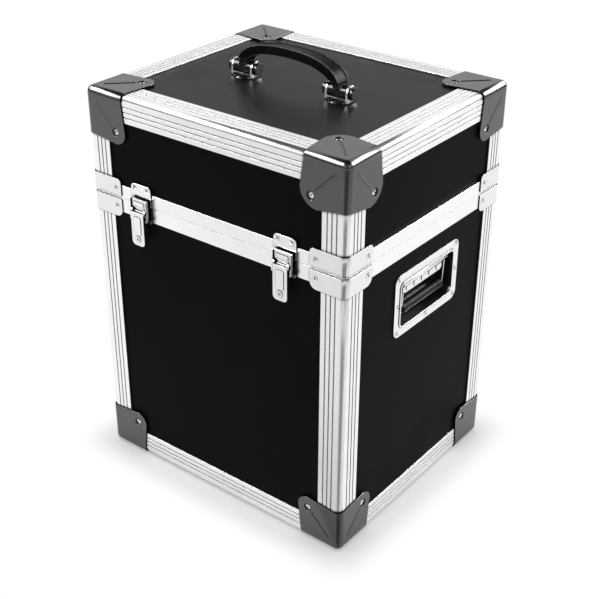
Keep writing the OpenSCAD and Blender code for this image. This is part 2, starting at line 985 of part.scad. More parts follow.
// Hook: two arms outside the ears, a plate across them and a nose over the keeper's lip
module latch_hook() {
    hook_top = 9;
    plate_low = -0.5;
    tab_low = pivot_z + latch_pin_r + 1;
    difference() {
        union() {
            for (x = [-arm_out, arm_x])
                sheet_yz(x, latch_t) {
                    translate([pivot_y, link_z]) circle(2.4);
                    translate([pivot_y - 1.8, link_z]) square([3.6, hook_top - link_z]);
                }
            translate([0, 0, plate_low])
                sheet_xz(-hook_front, latch_t) tab_2d(arm_out, hook_top - plate_low, 2.5);
            sheet_xz(-hook_front, latch_t)
                translate([-lever_w / 2 + 1.7, tab_low])
                    square([lever_w - 3.4, plate_low - tab_low + through]);
            sheet_xz(-hook_front - 0.6, 0.6 + latch_t / 2)
                translate([0, 3.4]) rounded_rect(lever_w - 3, 4.6, 1.5);
            translate([-lip_x, -hook_back - latch_t / 2, hook_top - 1.3])
                cube([2 * lip_x, 1 + latch_t / 2, 1.3]);
        }
        translate([0, pivot_y, link_z]) bar_x(latch_pin_r + pin_gap, latch_w);
    }
}

module latch_hook_left() {
    color("#dfe1e2") at_latch(-1) latch_hook();
}

module latch_hook_right() {
    color("#dfe1e2") at_latch(1) latch_hook();
}

// Pin through the lever and the hook's arms, with a head at each end
module latch_link_pin(sx) {
    head_t = 0.8;
    color("#b9bbbd")
        at_latch(sx)
            translate([0, pivot_y, link_z]) {
                bar_x(latch_pin_r, 2 * arm_out + 0.2);
                for (s = [-1, 1])
                    translate([s * (arm_out + 0.1 + head_t / 2), 0, 0]) bar_x(latch_pin_r + 0.7, head_t);
            }
}

module latch_link_pin_left() {
    latch_link_pin(-1);
}

module latch_link_pin_right() {
    latch_link_pin(1);
}

// ---------- recessed side handles ----------
// Drawn in the right wall's frame: y = 0 is the panel's outer face, inwards is +y

rod_depth = 5.5;
rod_z = dish_h / 2 - 7;
grip_z = rod_z - bail_reach;
grip_depth = grip_r + 1.2;
bail_t = 1.6;
bail_half = grip_l / 2 + bail_t + pass_gap;
roll_r = rod_r + 1.8;
spring_wire_r = 0.5;
spring_r = rod_r + spring_wire_r + 0.25;

module at_dish(side) {
    at_wall(side)
        translate([side == "right" ? dish_y : -dish_y, panel_out, dish_z]) children();
}

// Mouth of the dish grown by a margin
module dish_outline(margin) {
    rounded_rect(dish_l + 2 * margin, dish_h + 2 * margin, 6 + margin);
}

module side_dish(side) {
    bead_h = 0.8;
    color("#d9dbdc")
        difference() {
            at_dish(side)
                difference() {
                    union() {
                        sheet_xz(-dish_t, dish_t) rounded_rect(dish_plate_l, dish_plate_h, dish_plate_r);
                        sheet_xz(-dish_t - bead_h, bead_h + dish_t / 2) dish_outline(2);
                        sheet_xz(-dish_t / 2, dish_depth + dish_t / 2) dish_outline(dish_t);
                    }
                    sheet_xz(-dish_t - bead_h - through, dish_depth + bead_h + through) dish_outline(0);
                    translate([0, rod_depth, rod_z]) bar_x(rod_r + pin_gap, dish_l + 4 * dish_t);
                }
            wall_bores(dish_rivets(), [side]);
        }
}

module side_dish_left() {
    side_dish("left");
}

module side_dish_right() {
    side_dish("right");
}

// Bent-steel bail: roll round the rod, apron, two arms and the bar inside the grip
module side_bail(side) {
    apron_low = rod_z - 13;
    arm_w = 7;
    rib_in = 12;
    color("#e3e5e6")
        at_dish(side)
            difference() {
                union() {
                    translate([0, rod_depth, rod_z]) bar_x(roll_r, 2 * bail_half);
                    sheet_xz(rod_depth - bail_t / 2, bail_t)
                        polygon([
                            [-bail_half, rod_z], [bail_half, rod_z], [bail_half, apron_low + 5],
                            [bail_half - arm_w, apron_low], [-bail_half + arm_w, apron_low],
                            [-bail_half, apron_low + 5]
                        ]);
                    for (i = [-2 : 2])
                        translate([i * (bail_half - rib_in) / 2, rod_depth - bail_t / 2, apron_low + 5])
                            sheet_xz(-0.7, 0.7 + bail_t / 2) rounded_rect(7, 5, 1.5);
                    for (s = [-1, 1]) {
                        sheet_yz(s > 0 ? bail_half - bail_t : -bail_half, bail_t)
                            polygon([
                                [rod_depth - 2.5, rod_z], [rod_depth + 2.5, rod_z],
                                [grip_depth + 3, grip_z + 3], [grip_depth + 3, grip_z - 3],
                                [grip_depth - 3, grip_z - 3], [grip_depth - 3, grip_z + 3]
                            ]);
                    }
                    translate([0, grip_depth, grip_z]) bar_x(rod_r, 2 * bail_half - bail_t);
                }
                translate([0, rod_depth, rod_z]) bar_x(rod_r + pin_gap, dish_l);
            }
}

module side_bail_left() {
    side_bail("left");
}

module side_bail_right() {
    side_bail("right");
}

// Slightly waisted rubber sleeve on the bail's bar
module side_grip(side) {
    waist = 0.5;
    end_r = 1.5;
    half = grip_l / 2;
    color("#161617")
        at_dish(side)
            translate([0, grip_depth, grip_z])
                rotate([0, 90, 0])
                    rotate_extrude()
                        polygon([
                            [rod_r + pin_gap, -half], [grip_r - end_r, -half], [grip_r, -half + end_r],
                            [grip_r, -half + 8], [grip_r - waist, -half + 11],
                            [grip_r - waist, half - 11], [grip_r, half - 8],
                            [grip_r, half - end_r], [grip_r - end_r, half], [rod_r + pin_gap, half]
                        ]);
}

module side_grip_left() {
    side_grip("left");
}

module side_grip_right() {
    side_grip("right");
}

module side_handle_rods() {
    color("#b9bbbd")
        for (side = ["left", "right"])
            at_dish(side) translate([0, rod_depth, rod_z]) bar_x(rod_r, dish_l + 2 * dish_t);
}

// Torsion spring as a swept wire along X, wound round the rod
SPRING_TURNS = 4;
SPRING_STEPS = 12;
SPRING_SIDES = 6;
spring_pitch = 2 * spring_wire_r + 0.25;

function spring_point(i, k) =
    let (
        a = 360 * i / SPRING_STEPS,
        b = 360 * k / SPRING_SIDES,
        reach = spring_r + spring_wire_r * cos(b)
    )
    [spring_pitch * a / 360 + spring_wire_r * sin(b), reach * cos(a), reach * sin(a)];

module spring() {
    last = SPRING_TURNS * SPRING_STEPS;
    points = [for (i = [0 : last], k = [0 : SPRING_SIDES - 1]) spring_point(i, k)];
    sides = [
        for (i = [0 : last - 1], k = [0 : SPRING_SIDES - 1], half = [0, 1])
            let (
                n = (k + 1) % SPRING_SIDES,
                p = i * SPRING_SIDES,
                q = p + SPRING_SIDES
            )
            half == 0 ? [p + k, q + k, q + n] : [p + k, q + n, p + n]
    ];
    far = last * SPRING_SIDES;
    caps = concat(
        [for (k = [1 : SPRING_SIDES - 2]) [0, k, k + 1]],
        [for (k = [1 : SPRING_SIDES - 2]) [far, far + k + 1, far + k]]
    );
    polyhedron(points, concat(sides, caps));
}

module side_handle_springs() {
    color("#9c9ea0")
        for (m = [0, 1])
            mirror([m, 0, 0])
                at_dish("right") translate([bail_half + 1, rod_depth, rod_z]) spring();
}

// ---------- top handle ----------

handle_z = top_z - panel_out + handle_pivot_h;
barrel_half = barrel_l / 2;
lug_in = barrel_half + pass_gap;
head_t = 5;
BOW_STEPS = 40;
bow_power = 2.4;

// Middle line of the bow: a superellipse between the two pivots, by its angle
function bow_x(a) = -handle_span / 2 * sign(cos(a)) * pow(abs(cos(a)), 2 / bow_power);
function bow_z(a) = bow_rise * pow(abs(sin(a)), 2 / bow_power);
function bow_point(i, off) =
    let (
        a = 180 * i / BOW_STEPS,
        b0 = 180 * max(i - 0.5, 0) / BOW_STEPS,
        b1 = 180 * min(i + 0.5, BOW_STEPS) / BOW_STEPS,
        dx = bow_x(b1) - bow_x(b0),
        dz = bow_z(b1) - bow_z(b0),
        l = norm([dx, dz])
    )
    [bow_x(a) - off * dz / l, bow_z(a) + off * dx / l];

// The strap between two distances from its middle line
module bow_2d(under, over) {
    polygon(concat(
        [for (i = [0 : BOW_STEPS]) bow_point(i, over)],
        [for (i = [BOW_STEPS : -1 : 0]) bow_point(i, under)]
    ));
}

module top_handle_bow() {
    ridge_w = 2.2;
    root_h = barrel_r + 4;
    color("#161617")
        translate([0, -handle_fore, handle_z])
            difference() {
                union() {
                    sheet_xz(-bow_w / 2, bow_w) bow_2d(-bow_t / 2, bow_t / 2);
                    for (s = [-1, 1])
                        sheet_xz(s * (bow_w / 2 - ridge_w / 2) - ridge_w / 2, ridge_w)
                            bow_2d(0, bow_t / 2 + bow_ridge_h);
                    for (s = [-1, 1])
                        translate([s * handle_span / 2, 0, 0]) bar_x(barrel_r, barrel_l);
                }
                for (s = [-1, 1], t = [0, 1])
                    translate([s * handle_span / 2, 0, 0])
                        mirror([0, t, 0])
                            translate([-barrel_l, barrel_r, -barrel_r])
                                cube([2 * barrel_l, bow_w, barrel_r + root_h]);
                for (s = [-1, 1])
                    translate([s * handle_span / 2, 0, 0]) bar_x(handle_pin_r + pin_gap, barrel_l + 2);
            }
}

// Pressed bracket: foot plate with two round-topped lugs
module bracket() {
    foot_z = -handle_pivot_h;
    foot_half = lug_in + lug_t;
    difference() {
        union() {
            for (x = [-foot_half, lug_in])
                sheet_yz(x, lug_t) {
                    circle(lug_r);
                    translate([-lug_r, foot_z]) square([2 * lug_r, handle_pivot_h]);
                }
            translate([0, 0, foot_z])
                linear_extrude(bracket_base_t) {
                    square([2 * foot_half, 2 * lug_r], center = true);
                    rounded_rect(foot_w, 2 * foot_reach, 5);
                }
        }
        bar_x(handle_pin_r + pin_gap, 2 * foot_half + 2);
    }
}

module top_handle_brackets() {
    color("#cfd1d3")
        difference() {
            for (s = [-1, 1])
                translate([s * handle_span / 2, -handle_fore, handle_z]) bracket();
            flat_bores(BRACKET_RIVETS, true);
        }
}

module top_handle_pins() {
    foot_half = lug_in + lug_t;
    head_r = lug_r - 1.4;
    color("#161617")
        for (s = [-1, 1])
            translate([s * handle_span / 2, -handle_fore, handle_z]) {
                bar_x(handle_pin_r, 2 * foot_half);
                for (t = [-1, 1])
                    translate([t * (foot_half + head_t / 2), 0, 0]) bar_x(head_r, head_t);
            }
}

// ---------- rear hinges ----------

module at_hinge(sx) {
    translate([sx * hinge_x, half_d, split_z]) children();
}

function knuckle_len() = hinge_len / knuckles;

// Leaf below z = 0 with its share of the knuckles, every second one from the first
module hinge_leaf(first) {
    clear_z = knuckle_r + 0.6;
    arm_z = split_gap;
    body_r = 3;
    difference() {
        union() {
            translate([0, 0, -clear_z])
                mirror([0, 0, 1])
                    sheet_xz(0, hinge_t) tab_2d(hinge_len / 2, hinge_leaf_h - clear_z, body_r);
            for (i = [first : 2 : knuckles - 1])
                translate([-hinge_len / 2 + (i + 0.5) * knuckle_len(), 0, 0]) {
                    translate([0, hinge_off, 0]) bar_x(knuckle_r, knuckle_len() - pass_gap);
                    translate([-(knuckle_len() - pass_gap) / 2, 0, -clear_z - through])
                        cube([knuckle_len() - pass_gap, hinge_t, clear_z + through - arm_z]);
                }
        }
        translate([0, hinge_off, 0]) bar_x(hinge_pin_r + pin_gap, hinge_len + 2);
    }
}

module hinge_body_leaves() {
    color("#c4c6c8")
        difference() {
            for (sx = [-1, 1])
                at_hinge(sx) hinge_leaf(0);
            wall_bores(BODY_RIVETS, ["rear"]);
        }
}

module hinge_lid_leaves() {
    color("#c4c6c8")
        difference() {
            for (sx = [-1, 1])
                at_hinge(sx) mirror([0, 0, 1]) hinge_leaf(1);
            wall_bores(LID_RIVETS, ["rear"]);
        }
}

module hinge_pins() {
    color("#b9bbbd")
        for (sx = [-1, 1])
            at_hinge(sx)
                translate([0, hinge_off, 0]) {
                    bar_x(hinge_pin_r, hinge_len);
                    for (s = [-1, 1])
                        translate([s * (hinge_len / 2 + 0.5), 0, 0]) bar_x(hinge_pin_r + 1.2, 1);
                }
}

// ---------- foam sheets ----------

module foam(low) {
    half_x = half_w - inner_flange_w - pass_gap;
    half_y = half_d - inner_flange_w - pass_gap;
    translate([-half_x, -half_y, low]) cube([2 * half_x, 2 * half_y, foam_t]);
}

module floor_foam() {
    color("#2c2d30")
        difference() {
            foam(base_z + panel_in);
            flat_tails(GUARD_FLAT_RIVETS, false);
        }
}

module lid_foam() {
    color("#2c2d30")
        difference() {
            foam(top_z - panel_in - foam_t);
            flat_tails(GUARD_FLAT_RIVETS, true);
            flat_tails(BRACKET_RIVETS, true);
        }
}

// Pockets in the foam over the rivets' clinched ends
module flat_tails(list, upper) {
    for (r = list)
        translate([r[0], r[1], upper ? top_z - panel_in : base_z + panel_in])
            mirror([0, 0, upper ? 1 : 0])
                translate([0, 0, -through])
                    cylinder(r = rivet_tail_r + pass_gap, h = rivet_tail_h + pass_gap + through);
}

body_front_panel();
body_rear_panel();
body_left_panel();
body_right_panel();
body_floor_panel();
lid_front_panel();
lid_rear_panel();
lid_left_panel();
lid_right_panel();
lid_top_panel();
body_posts();
lid_posts();
lid_edge_front();
lid_edge_rear();
lid_edge_left();
lid_edge_right();
floor_edge_front();
floor_edge_rear();
floor_edge_left();
floor_edge_right();
body_band();
lid_band();
upper_guard_front_left();
upper_guard_front_right();
upper_guard_rear_left();
upper_guard_rear_right();
lower_guard_front_left();
lower_guard_front_right();
lower_guard_rear_left();
lower_guard_rear_right();
body_braces();
lid_braces();
body_rivets();
lid_rivets();
latch_base_left();
latch_base_right();
latch_lever_left();
latch_lever_right();
latch_hook_left();
latch_hook_right();
latch_keepers();
latch_base_pins();
latch_link_pin_left();
latch_link_pin_right();
side_dish_left();
side_dish_right();
side_bail_left();
side_bail_right();
side_grip_left();
side_grip_right();
side_handle_rods();
side_handle_springs();
top_handle_bow();
top_handle_brackets();
top_handle_pins();
hinge_body_leaves();
hinge_lid_leaves();
hinge_pins();
floor_foam();
lid_foam();
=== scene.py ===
"""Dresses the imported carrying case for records: finishes, eased edges, foam sheets and studio."""

import logging
import math
from dataclasses import dataclass
from enum import Enum
from typing import ClassVar

import bmesh
import bpy
from mathutils import Matrix, Vector, noise


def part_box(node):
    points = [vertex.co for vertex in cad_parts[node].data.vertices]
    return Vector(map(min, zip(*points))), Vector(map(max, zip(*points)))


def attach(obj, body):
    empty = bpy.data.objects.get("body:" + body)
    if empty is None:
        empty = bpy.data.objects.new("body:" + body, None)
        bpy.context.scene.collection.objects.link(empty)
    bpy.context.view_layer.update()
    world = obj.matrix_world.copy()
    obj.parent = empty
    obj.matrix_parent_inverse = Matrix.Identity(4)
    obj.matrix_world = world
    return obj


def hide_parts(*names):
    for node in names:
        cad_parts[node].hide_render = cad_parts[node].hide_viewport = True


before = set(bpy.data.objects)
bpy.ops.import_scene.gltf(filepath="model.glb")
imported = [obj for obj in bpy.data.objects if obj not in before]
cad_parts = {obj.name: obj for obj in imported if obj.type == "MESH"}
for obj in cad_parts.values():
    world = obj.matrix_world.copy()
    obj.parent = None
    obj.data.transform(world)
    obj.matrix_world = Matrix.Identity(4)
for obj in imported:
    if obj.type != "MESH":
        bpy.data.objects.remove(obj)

Colour = tuple[float, float, float]
Socket = bpy.types.NodeSocket

LOG = logging.getLogger("carrying case")
MM = 0.001
EDGE_SAMPLES = 4
OPEN_SAMPLES = 8
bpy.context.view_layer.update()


class Along(Enum):
    """The way a drawn or brushed surface runs, as the stretch of its grain in X, Y and Z."""

    X = (0.02, 1.0, 1.0)
    Y = (1.0, 0.02, 1.0)
    Z = (1.0, 1.0, 0.02)
    LEVEL = (0.02, 0.02, 1.0)
    NONE = (1.0, 1.0, 1.0)


class Seen(Enum):
    """What a lamp lights."""

    PLAINLY = "everything but reflections"
    MIRRORED = "reflections alone"


class Graph:
    """Adds nodes to one node tree and joins them."""

    def __init__(self, tree: bpy.types.NodeTree) -> None:
        """Takes the tree to build in."""
        self.tree = tree

    def node(self, kind: str, **settings: object) -> bpy.types.Node:
        """Adds a node.

        Args:
            kind: The node's type without its ShaderNode prefix.
            **settings: Attributes to set on it.

        Returns:
            The new node.
        """
        made = self.tree.nodes.new("ShaderNode" + kind)
        for name, value in settings.items():
            setattr(made, name, value)
        return made

    def feed(self, target: Socket, value: Socket | float | tuple) -> None:
        """Joins a socket to the target, or sets the target's own value.

        Args:
            target: The input to feed.
            value: The socket to join to it, or its new value.
        """
        if isinstance(value, bpy.types.NodeSocket):
            self.tree.links.new(value, target)
        else:
            target.default_value = value

    def calc(self, operation: str, *values: Socket | float) -> Socket:
        """Adds a Math node.

        Args:
            operation: The node's operation.
            *values: Its inputs in order.

        Returns:
            Its output.
        """
        made = self.node("Math", operation=operation)
        for socket, value in zip(made.inputs, values):
            self.feed(socket, value)
        return made.outputs[0]

    def vector(self, operation: str, *values: Socket | tuple) -> Socket:
        """Adds a Vector Math node.

        Args:
            operation: The node's operation.
            *values: Its inputs in order.

        Returns:
            Its output, which is a number for LENGTH and DOT_PRODUCT.
        """
        made = self.node("VectorMath", operation=operation)
        for socket, value in zip(made.inputs, values):
            self.feed(socket, value)
        return made.outputs["Value" if operation in ("LENGTH", "DOT_PRODUCT") else "Vector"]

    def steps(
        self, value: Socket, low: float, high: float, to_low: float = 0.0, to_high: float = 1.0
    ) -> Socket:
        """Maps a value smoothly from one range to another and clamps it.

        Args:
            value: The value to map.
            low: Start of its range.
            high: End of its range.
            to_low: Result at the start.
            to_high: Result at the end.

        Returns:
            The mapped value.
        """
        made = self.node("MapRange", interpolation_type="SMOOTHSTEP")
        for socket, number in zip(made.inputs, (value, low, high, to_low, to_high)):
            self.feed(socket, number)
        return made.outputs["Result"]

    def place(self) -> Socket:
        """Gives the place of each point in the piece's own frame."""
        return self.node("TexCoord").outputs["Object"]

    def split(self, value: Socket) -> tuple[Socket, Socket, Socket]:
        """Splits a vector.

        Args:
            value: The vector.

        Returns:
            Its X, Y and Z.
        """
        parts = self.node("SeparateXYZ")
        self.feed(parts.inputs[0], value)
        return tuple(parts.outputs)

    def blend(self, factor: Socket | float, first: Socket | Colour, second: Socket | Colour) -> Socket:
        """Mixes two colours.

        Args:
            factor: Share of the second colour.
            first: Colour at 0.
            second: Colour at 1.

        Returns:
            The mixed colour.
        """
        made = self.node("Mix", data_type="RGBA")
        self.feed(made.inputs["Factor"], factor)
        for socket, colour in zip((s for s in made.inputs if s.type == "RGBA"), (first, second)):
            self.feed(socket, (*colour, 1.0) if isinstance(colour, tuple) else colour)
        return next(s for s in made.outputs if s.type == "RGBA")


class Effects:
    """The shader node groups that several finishes share.

    Attributes:
        grain_edge: Noise between which the grain goes from none to full.
        pebble_soft: How far neighbouring pebbles run into each other.
        pebble_edge: Distances from a pebble's middle between which it falls to the line around it.
        patch_detail: Finer and finer layers of noise in the smears.
        patch_bend: How far that noise is bent.
        bare_noise: Noise below which nothing is smeared, for a cover of none.
        smear_edge: Noise over which a smear fades out.
        pale_edge_turn: Cosines of the surface's turn between which an edge grows paler.
        pale_edge_scale: Breaks in the pale edges in a metre.
        pale_edge_noise: Noise between which a pale edge goes from faint to full.
        pale_edge_least: Share of the paleness that is left in the breaks.
        closed_edge: Open shares between which a joint goes from full painted shade to none.
    """

    grain_edge: ClassVar[tuple[float, float]] = (0.25, 0.75)
    pebble_soft: ClassVar[float] = 0.6
    pebble_edge: ClassVar[tuple[float, float]] = (0.1, 0.6)
    patch_detail: ClassVar[float] = 5.0
    patch_bend: ClassVar[float] = 0.6
    bare_noise: ClassVar[float] = 0.8
    smear_edge: ClassVar[float] = 0.35
    pale_edge_turn: ClassVar[tuple[float, float]] = (0.995, 0.9)
    pale_edge_scale: ClassVar[float] = 260.0
    pale_edge_noise: ClassVar[tuple[float, float]] = (0.35, 0.6)
    pale_edge_least: ClassVar[float] = 0.35
    closed_edge: ClassVar[tuple[float, float]] = (0.7, 1.0)

    def __init__(self) -> None:
        """Builds every group once."""
        self.depth = self._depth()
        self.grain = self._grain()
        self.pebble = self._pebble()
        self.smears = self._smears()
        self.pale_edges = self._pale_edges()
        self.painted_shade = self._painted_shade()

    @staticmethod
    def _group(
        name: str, inputs: dict[str, tuple[str, float | tuple]], outputs: dict[str, str]
    ) -> tuple[bpy.types.NodeTree, Graph, bpy.types.Node, bpy.types.Node]:
        """Makes an empty group with its sockets.

        Args:
            name: The group's name.
            inputs: Each input's kind and starting value, by name.
            outputs: Each output's kind, by name.

        Returns:
            The tree, its graph, its input node and its output node.
        """
        tree = bpy.data.node_groups.new(name, "ShaderNodeTree")
        for label, (kind, value) in inputs.items():
            socket = tree.interface.new_socket(label, in_out="INPUT", socket_type="NodeSocket" + kind)
            socket.default_value = value
        for label, kind in outputs.items():
            tree.interface.new_socket(label, in_out="OUTPUT", socket_type="NodeSocket" + kind)
        graph = Graph(tree)
        return tree, graph, tree.nodes.new("NodeGroupInput"), tree.nodes.new("NodeGroupOutput")

    def _depth(self) -> bpy.types.NodeTree:
        """Makes the depth below the nearest and the next face of a box.

        Returns:
            The group's tree.
        """
        tree, graph, given, result = self._group(
            "depth below the faces",
            {"Half size": ("Vector", (0.1, 0.1, 0.1)), "Middle": ("Vector", (0.0, 0.0, 0.0))},
            {"Nearest": "Float", "Next": "Float"},
        )
        away = graph.vector("ABSOLUTE", graph.vector("SUBTRACT", graph.place(), given.outputs["Middle"]))
        x, y, z = graph.split(graph.vector("SUBTRACT", given.outputs["Half size"], away))
        nearest = graph.calc("MINIMUM", graph.calc("MINIMUM", x, y), z)
        furthest = graph.calc("MAXIMUM", graph.calc("MAXIMUM", x, y), z)
        others = graph.calc("SUBTRACT", graph.calc("ADD", graph.calc("ADD", x, y), z), nearest)
        graph.feed(result.inputs["Nearest"], nearest)
        graph.feed(result.inputs["Next"], graph.calc("SUBTRACT", others, furthest))
        return tree

    def _grain(self) -> bpy.types.NodeTree:
        """Makes fine grain, stretched along the way a metal was drawn or brushed.

        Returns:
            The group's tree.
        """
        tree, graph, given, result = self._group(
            "grain",
            {
                "Stretch": ("Vector", Along.NONE.value),
                "Scale": ("Float", 900.0),
                "Detail": ("Float", 3.0),
            },
            {"Mask": "Float"},
        )
        cells = graph.node("TexNoise")
        stretched = graph.vector("MULTIPLY", graph.place(), given.outputs["Stretch"])
        graph.feed(cells.inputs["Vector"], stretched)
        graph.feed(cells.inputs["Scale"], given.outputs["Scale"])
        graph.feed(cells.inputs["Detail"], given.outputs["Detail"])
        graph.feed(result.inputs["Mask"], graph.steps(cells.outputs[0], *self.grain_edge))
        return tree

    def _pebble(self) -> bpy.types.NodeTree:
        """Makes small rounded pebbles with sunk lines between them.

        Returns:
            The group's tree.
        """
        tree, graph, given, result = self._group(
            "pebble", {"Scale": ("Float", 900.0)}, {"Height": "Float"}
        )
        cells = graph.node("TexVoronoi", feature="SMOOTH_F1")
        cells.inputs["Smoothness"].default_value = self.pebble_soft
        graph.feed(cells.inputs["Vector"], graph.place())
        graph.feed(cells.inputs["Scale"], given.outputs["Scale"])
        height = graph.steps(cells.outputs["Distance"], *self.pebble_edge, 1.0, 0.0)
        graph.feed(result.inputs["Height"], height)
        return tree

    def _smears(self) -> bpy.types.NodeTree:
        """Makes broad soft patches where a surface was handled or wiped.

        Returns:
            The group's tree.
        """
        tree, graph, given, result = self._group(
            "smears", {"Scale": ("Float", 14.0), "Cover": ("Float", 0.5)}, {"Mask": "Float"}
        )
        patches = graph.node("TexNoise")
        patches.inputs["Detail"].default_value = self.patch_detail
        patches.inputs["Distortion"].default_value = self.patch_bend
        graph.feed(patches.inputs["Vector"], graph.place())
        graph.feed(patches.inputs["Scale"], given.outputs["Scale"])
        bare = graph.calc("SUBTRACT", 1.0, given.outputs["Cover"])
        over = graph.calc("SUBTRACT", patches.outputs[0], graph.calc("MULTIPLY", bare, self.bare_noise))
        graph.feed(result.inputs["Mask"], graph.steps(over, 0.0, self.smear_edge))
        return tree

    def _pale_edges(self) -> bpy.types.NodeTree:
        """Makes pale edges, part wear and part painted highlight, from the surface's turn within a
        radius.

        Returns:
            The group's tree.
        """
        tree, graph, given, result = self._group(
            "rubbed_and_highlit edges", {"Radius": ("Float", 0.001), "Amount": ("Float", 1.0)}, {"Mask": "Float"}
        )
        eased = graph.node("Bevel", samples=EDGE_SAMPLES)
        graph.feed(eased.inputs["Radius"], given.outputs["Radius"])
        # Paler where the surface turns: wear on edges and a painted highlight on ridges.
        turn = graph.vector("DOT_PRODUCT", eased.outputs[0], graph.node("NewGeometry").outputs["Normal"])
        edge = graph.steps(turn, *self.pale_edge_turn)
        broken = graph.node("TexNoise")
        broken.inputs["Scale"].default_value = self.pale_edge_scale
        graph.feed(broken.inputs["Vector"], graph.place())
        patchy = graph.steps(broken.outputs[0], *self.pale_edge_noise, self.pale_edge_least, 1.0)
        rubbed_and_highlit = graph.calc("MULTIPLY", graph.calc("MULTIPLY", edge, patchy), given.outputs["Amount"])
        graph.feed(result.inputs["Mask"], rubbed_and_highlit)
        return tree

    def _painted_shade(self) -> bpy.types.NodeTree:
        """Makes painted shade in joints and round raised pieces, from how closed in each point is within
        a distance.

        Returns:
            The group's tree.
        """
        tree, graph, given, result = self._group(
            "painted_shade_in_joints", {"Distance": ("Float", 0.002), "Amount": ("Float", 1.0)}, {"Mask": "Float"}
        )
        open_share = graph.node("AmbientOcclusion", samples=OPEN_SAMPLES)
        graph.feed(open_share.inputs["Distance"], given.outputs["Distance"])
        # Painted shade: the more closed in a point is, the darker it is painted.
        closed = graph.steps(open_share.outputs["AO"], *self.closed_edge, 1.0, 0.0)
        graph.feed(result.inputs["Mask"], graph.calc("MULTIPLY", closed, given.outputs["Amount"]))
        return tree


EFFECTS = Effects()


@dataclass(frozen=True)
class Finish:
    """What every finish has.

    Attributes:
        name: The material's name after its finish_ prefix.
        colour: Its plain colour, linear.
        roughness: Its plain roughness.
    """

    name: str
    colour: Colour
    roughness: float

    def material(self) -> bpy.types.Material:
        """Builds the material, unless it was built before.

        Returns:
            The material.
        """
        label = "finish_" + self.name
        if label in bpy.data.materials:
            return bpy.data.materials[label]
        made = bpy.data.materials.new(label)
        made.use_nodes = True
        graph = Graph(made.node_tree)
        shader = next(n for n in made.node_tree.nodes if n.type == "BSDF_PRINCIPLED")
        shader.inputs["Base Color"].default_value = (*self.colour, 1.0)
        shader.inputs["Roughness"].default_value = self.roughness
        self.paint(graph, shader)
        return made

    def paint(self, graph: Graph, shader: bpy.types.Node) -> None:
        """Adds the finish's own effects.

        Args:
            graph: The material's graph.
            shader: Its Principled BSDF.
        """
        raise NotImplementedError

    @staticmethod
    def use(graph: Graph, tree: bpy.types.NodeTree, **values: float | tuple) -> bpy.types.Node:
        """Places a shared effect.

        Args:
            graph: The material's graph.
            tree: The effect's group.
            **values: Its inputs, with underscores for spaces.

        Returns:
            The group's node.
        """
        made = graph.node("Group", node_tree=tree)
        for label, value in values.items():
            made.inputs[label.replace("_", " ")].default_value = value
        return made

    @classmethod
    def below_faces(cls, graph: Graph) -> bpy.types.Node:
        """Places the depth below the case's faces.

        Args:
            graph: The material's graph.

        Returns:
            The effect's node.
        """
        half = (CASE.half_w, CASE.half_d, CASE.half_h)
        return cls.use(graph, EFFECTS.depth, Half_size=half, Middle=(0.0, 0.0, CASE.middle_z))

    @staticmethod
    def shade(share: float, colour: Colour) -> Colour:
        """Gives a colour times a share."""
        return tuple(share * part for part in colour)

    @staticmethod
    def emboss(
        graph: Graph, shader: bpy.types.Node, height: Socket, depth: float, ease: float = 0.0
    ) -> None:
        """Feeds a height to the shader's normal.

        Args:
            graph: The material's graph.
            shader: The Principled BSDF.
            height: Height from 0 to 1.
            depth: Height of 1 in metres.
            ease: Radius over which sharp edges look round, in metres, or 0.
        """
        bump = graph.node("Bump")
        bump.inputs["Strength"].default_value = 1.0
        bump.inputs["Distance"].default_value = depth
        graph.feed(bump.inputs["Height"], height)
        if ease:
            rounded = graph.node("Bevel", samples=EDGE_SAMPLES)
            rounded.inputs["Radius"].default_value = ease
            graph.feed(bump.inputs["Normal"], rounded.outputs["Normal"])
        graph.feed(shader.inputs["Normal"], bump.outputs["Normal"])


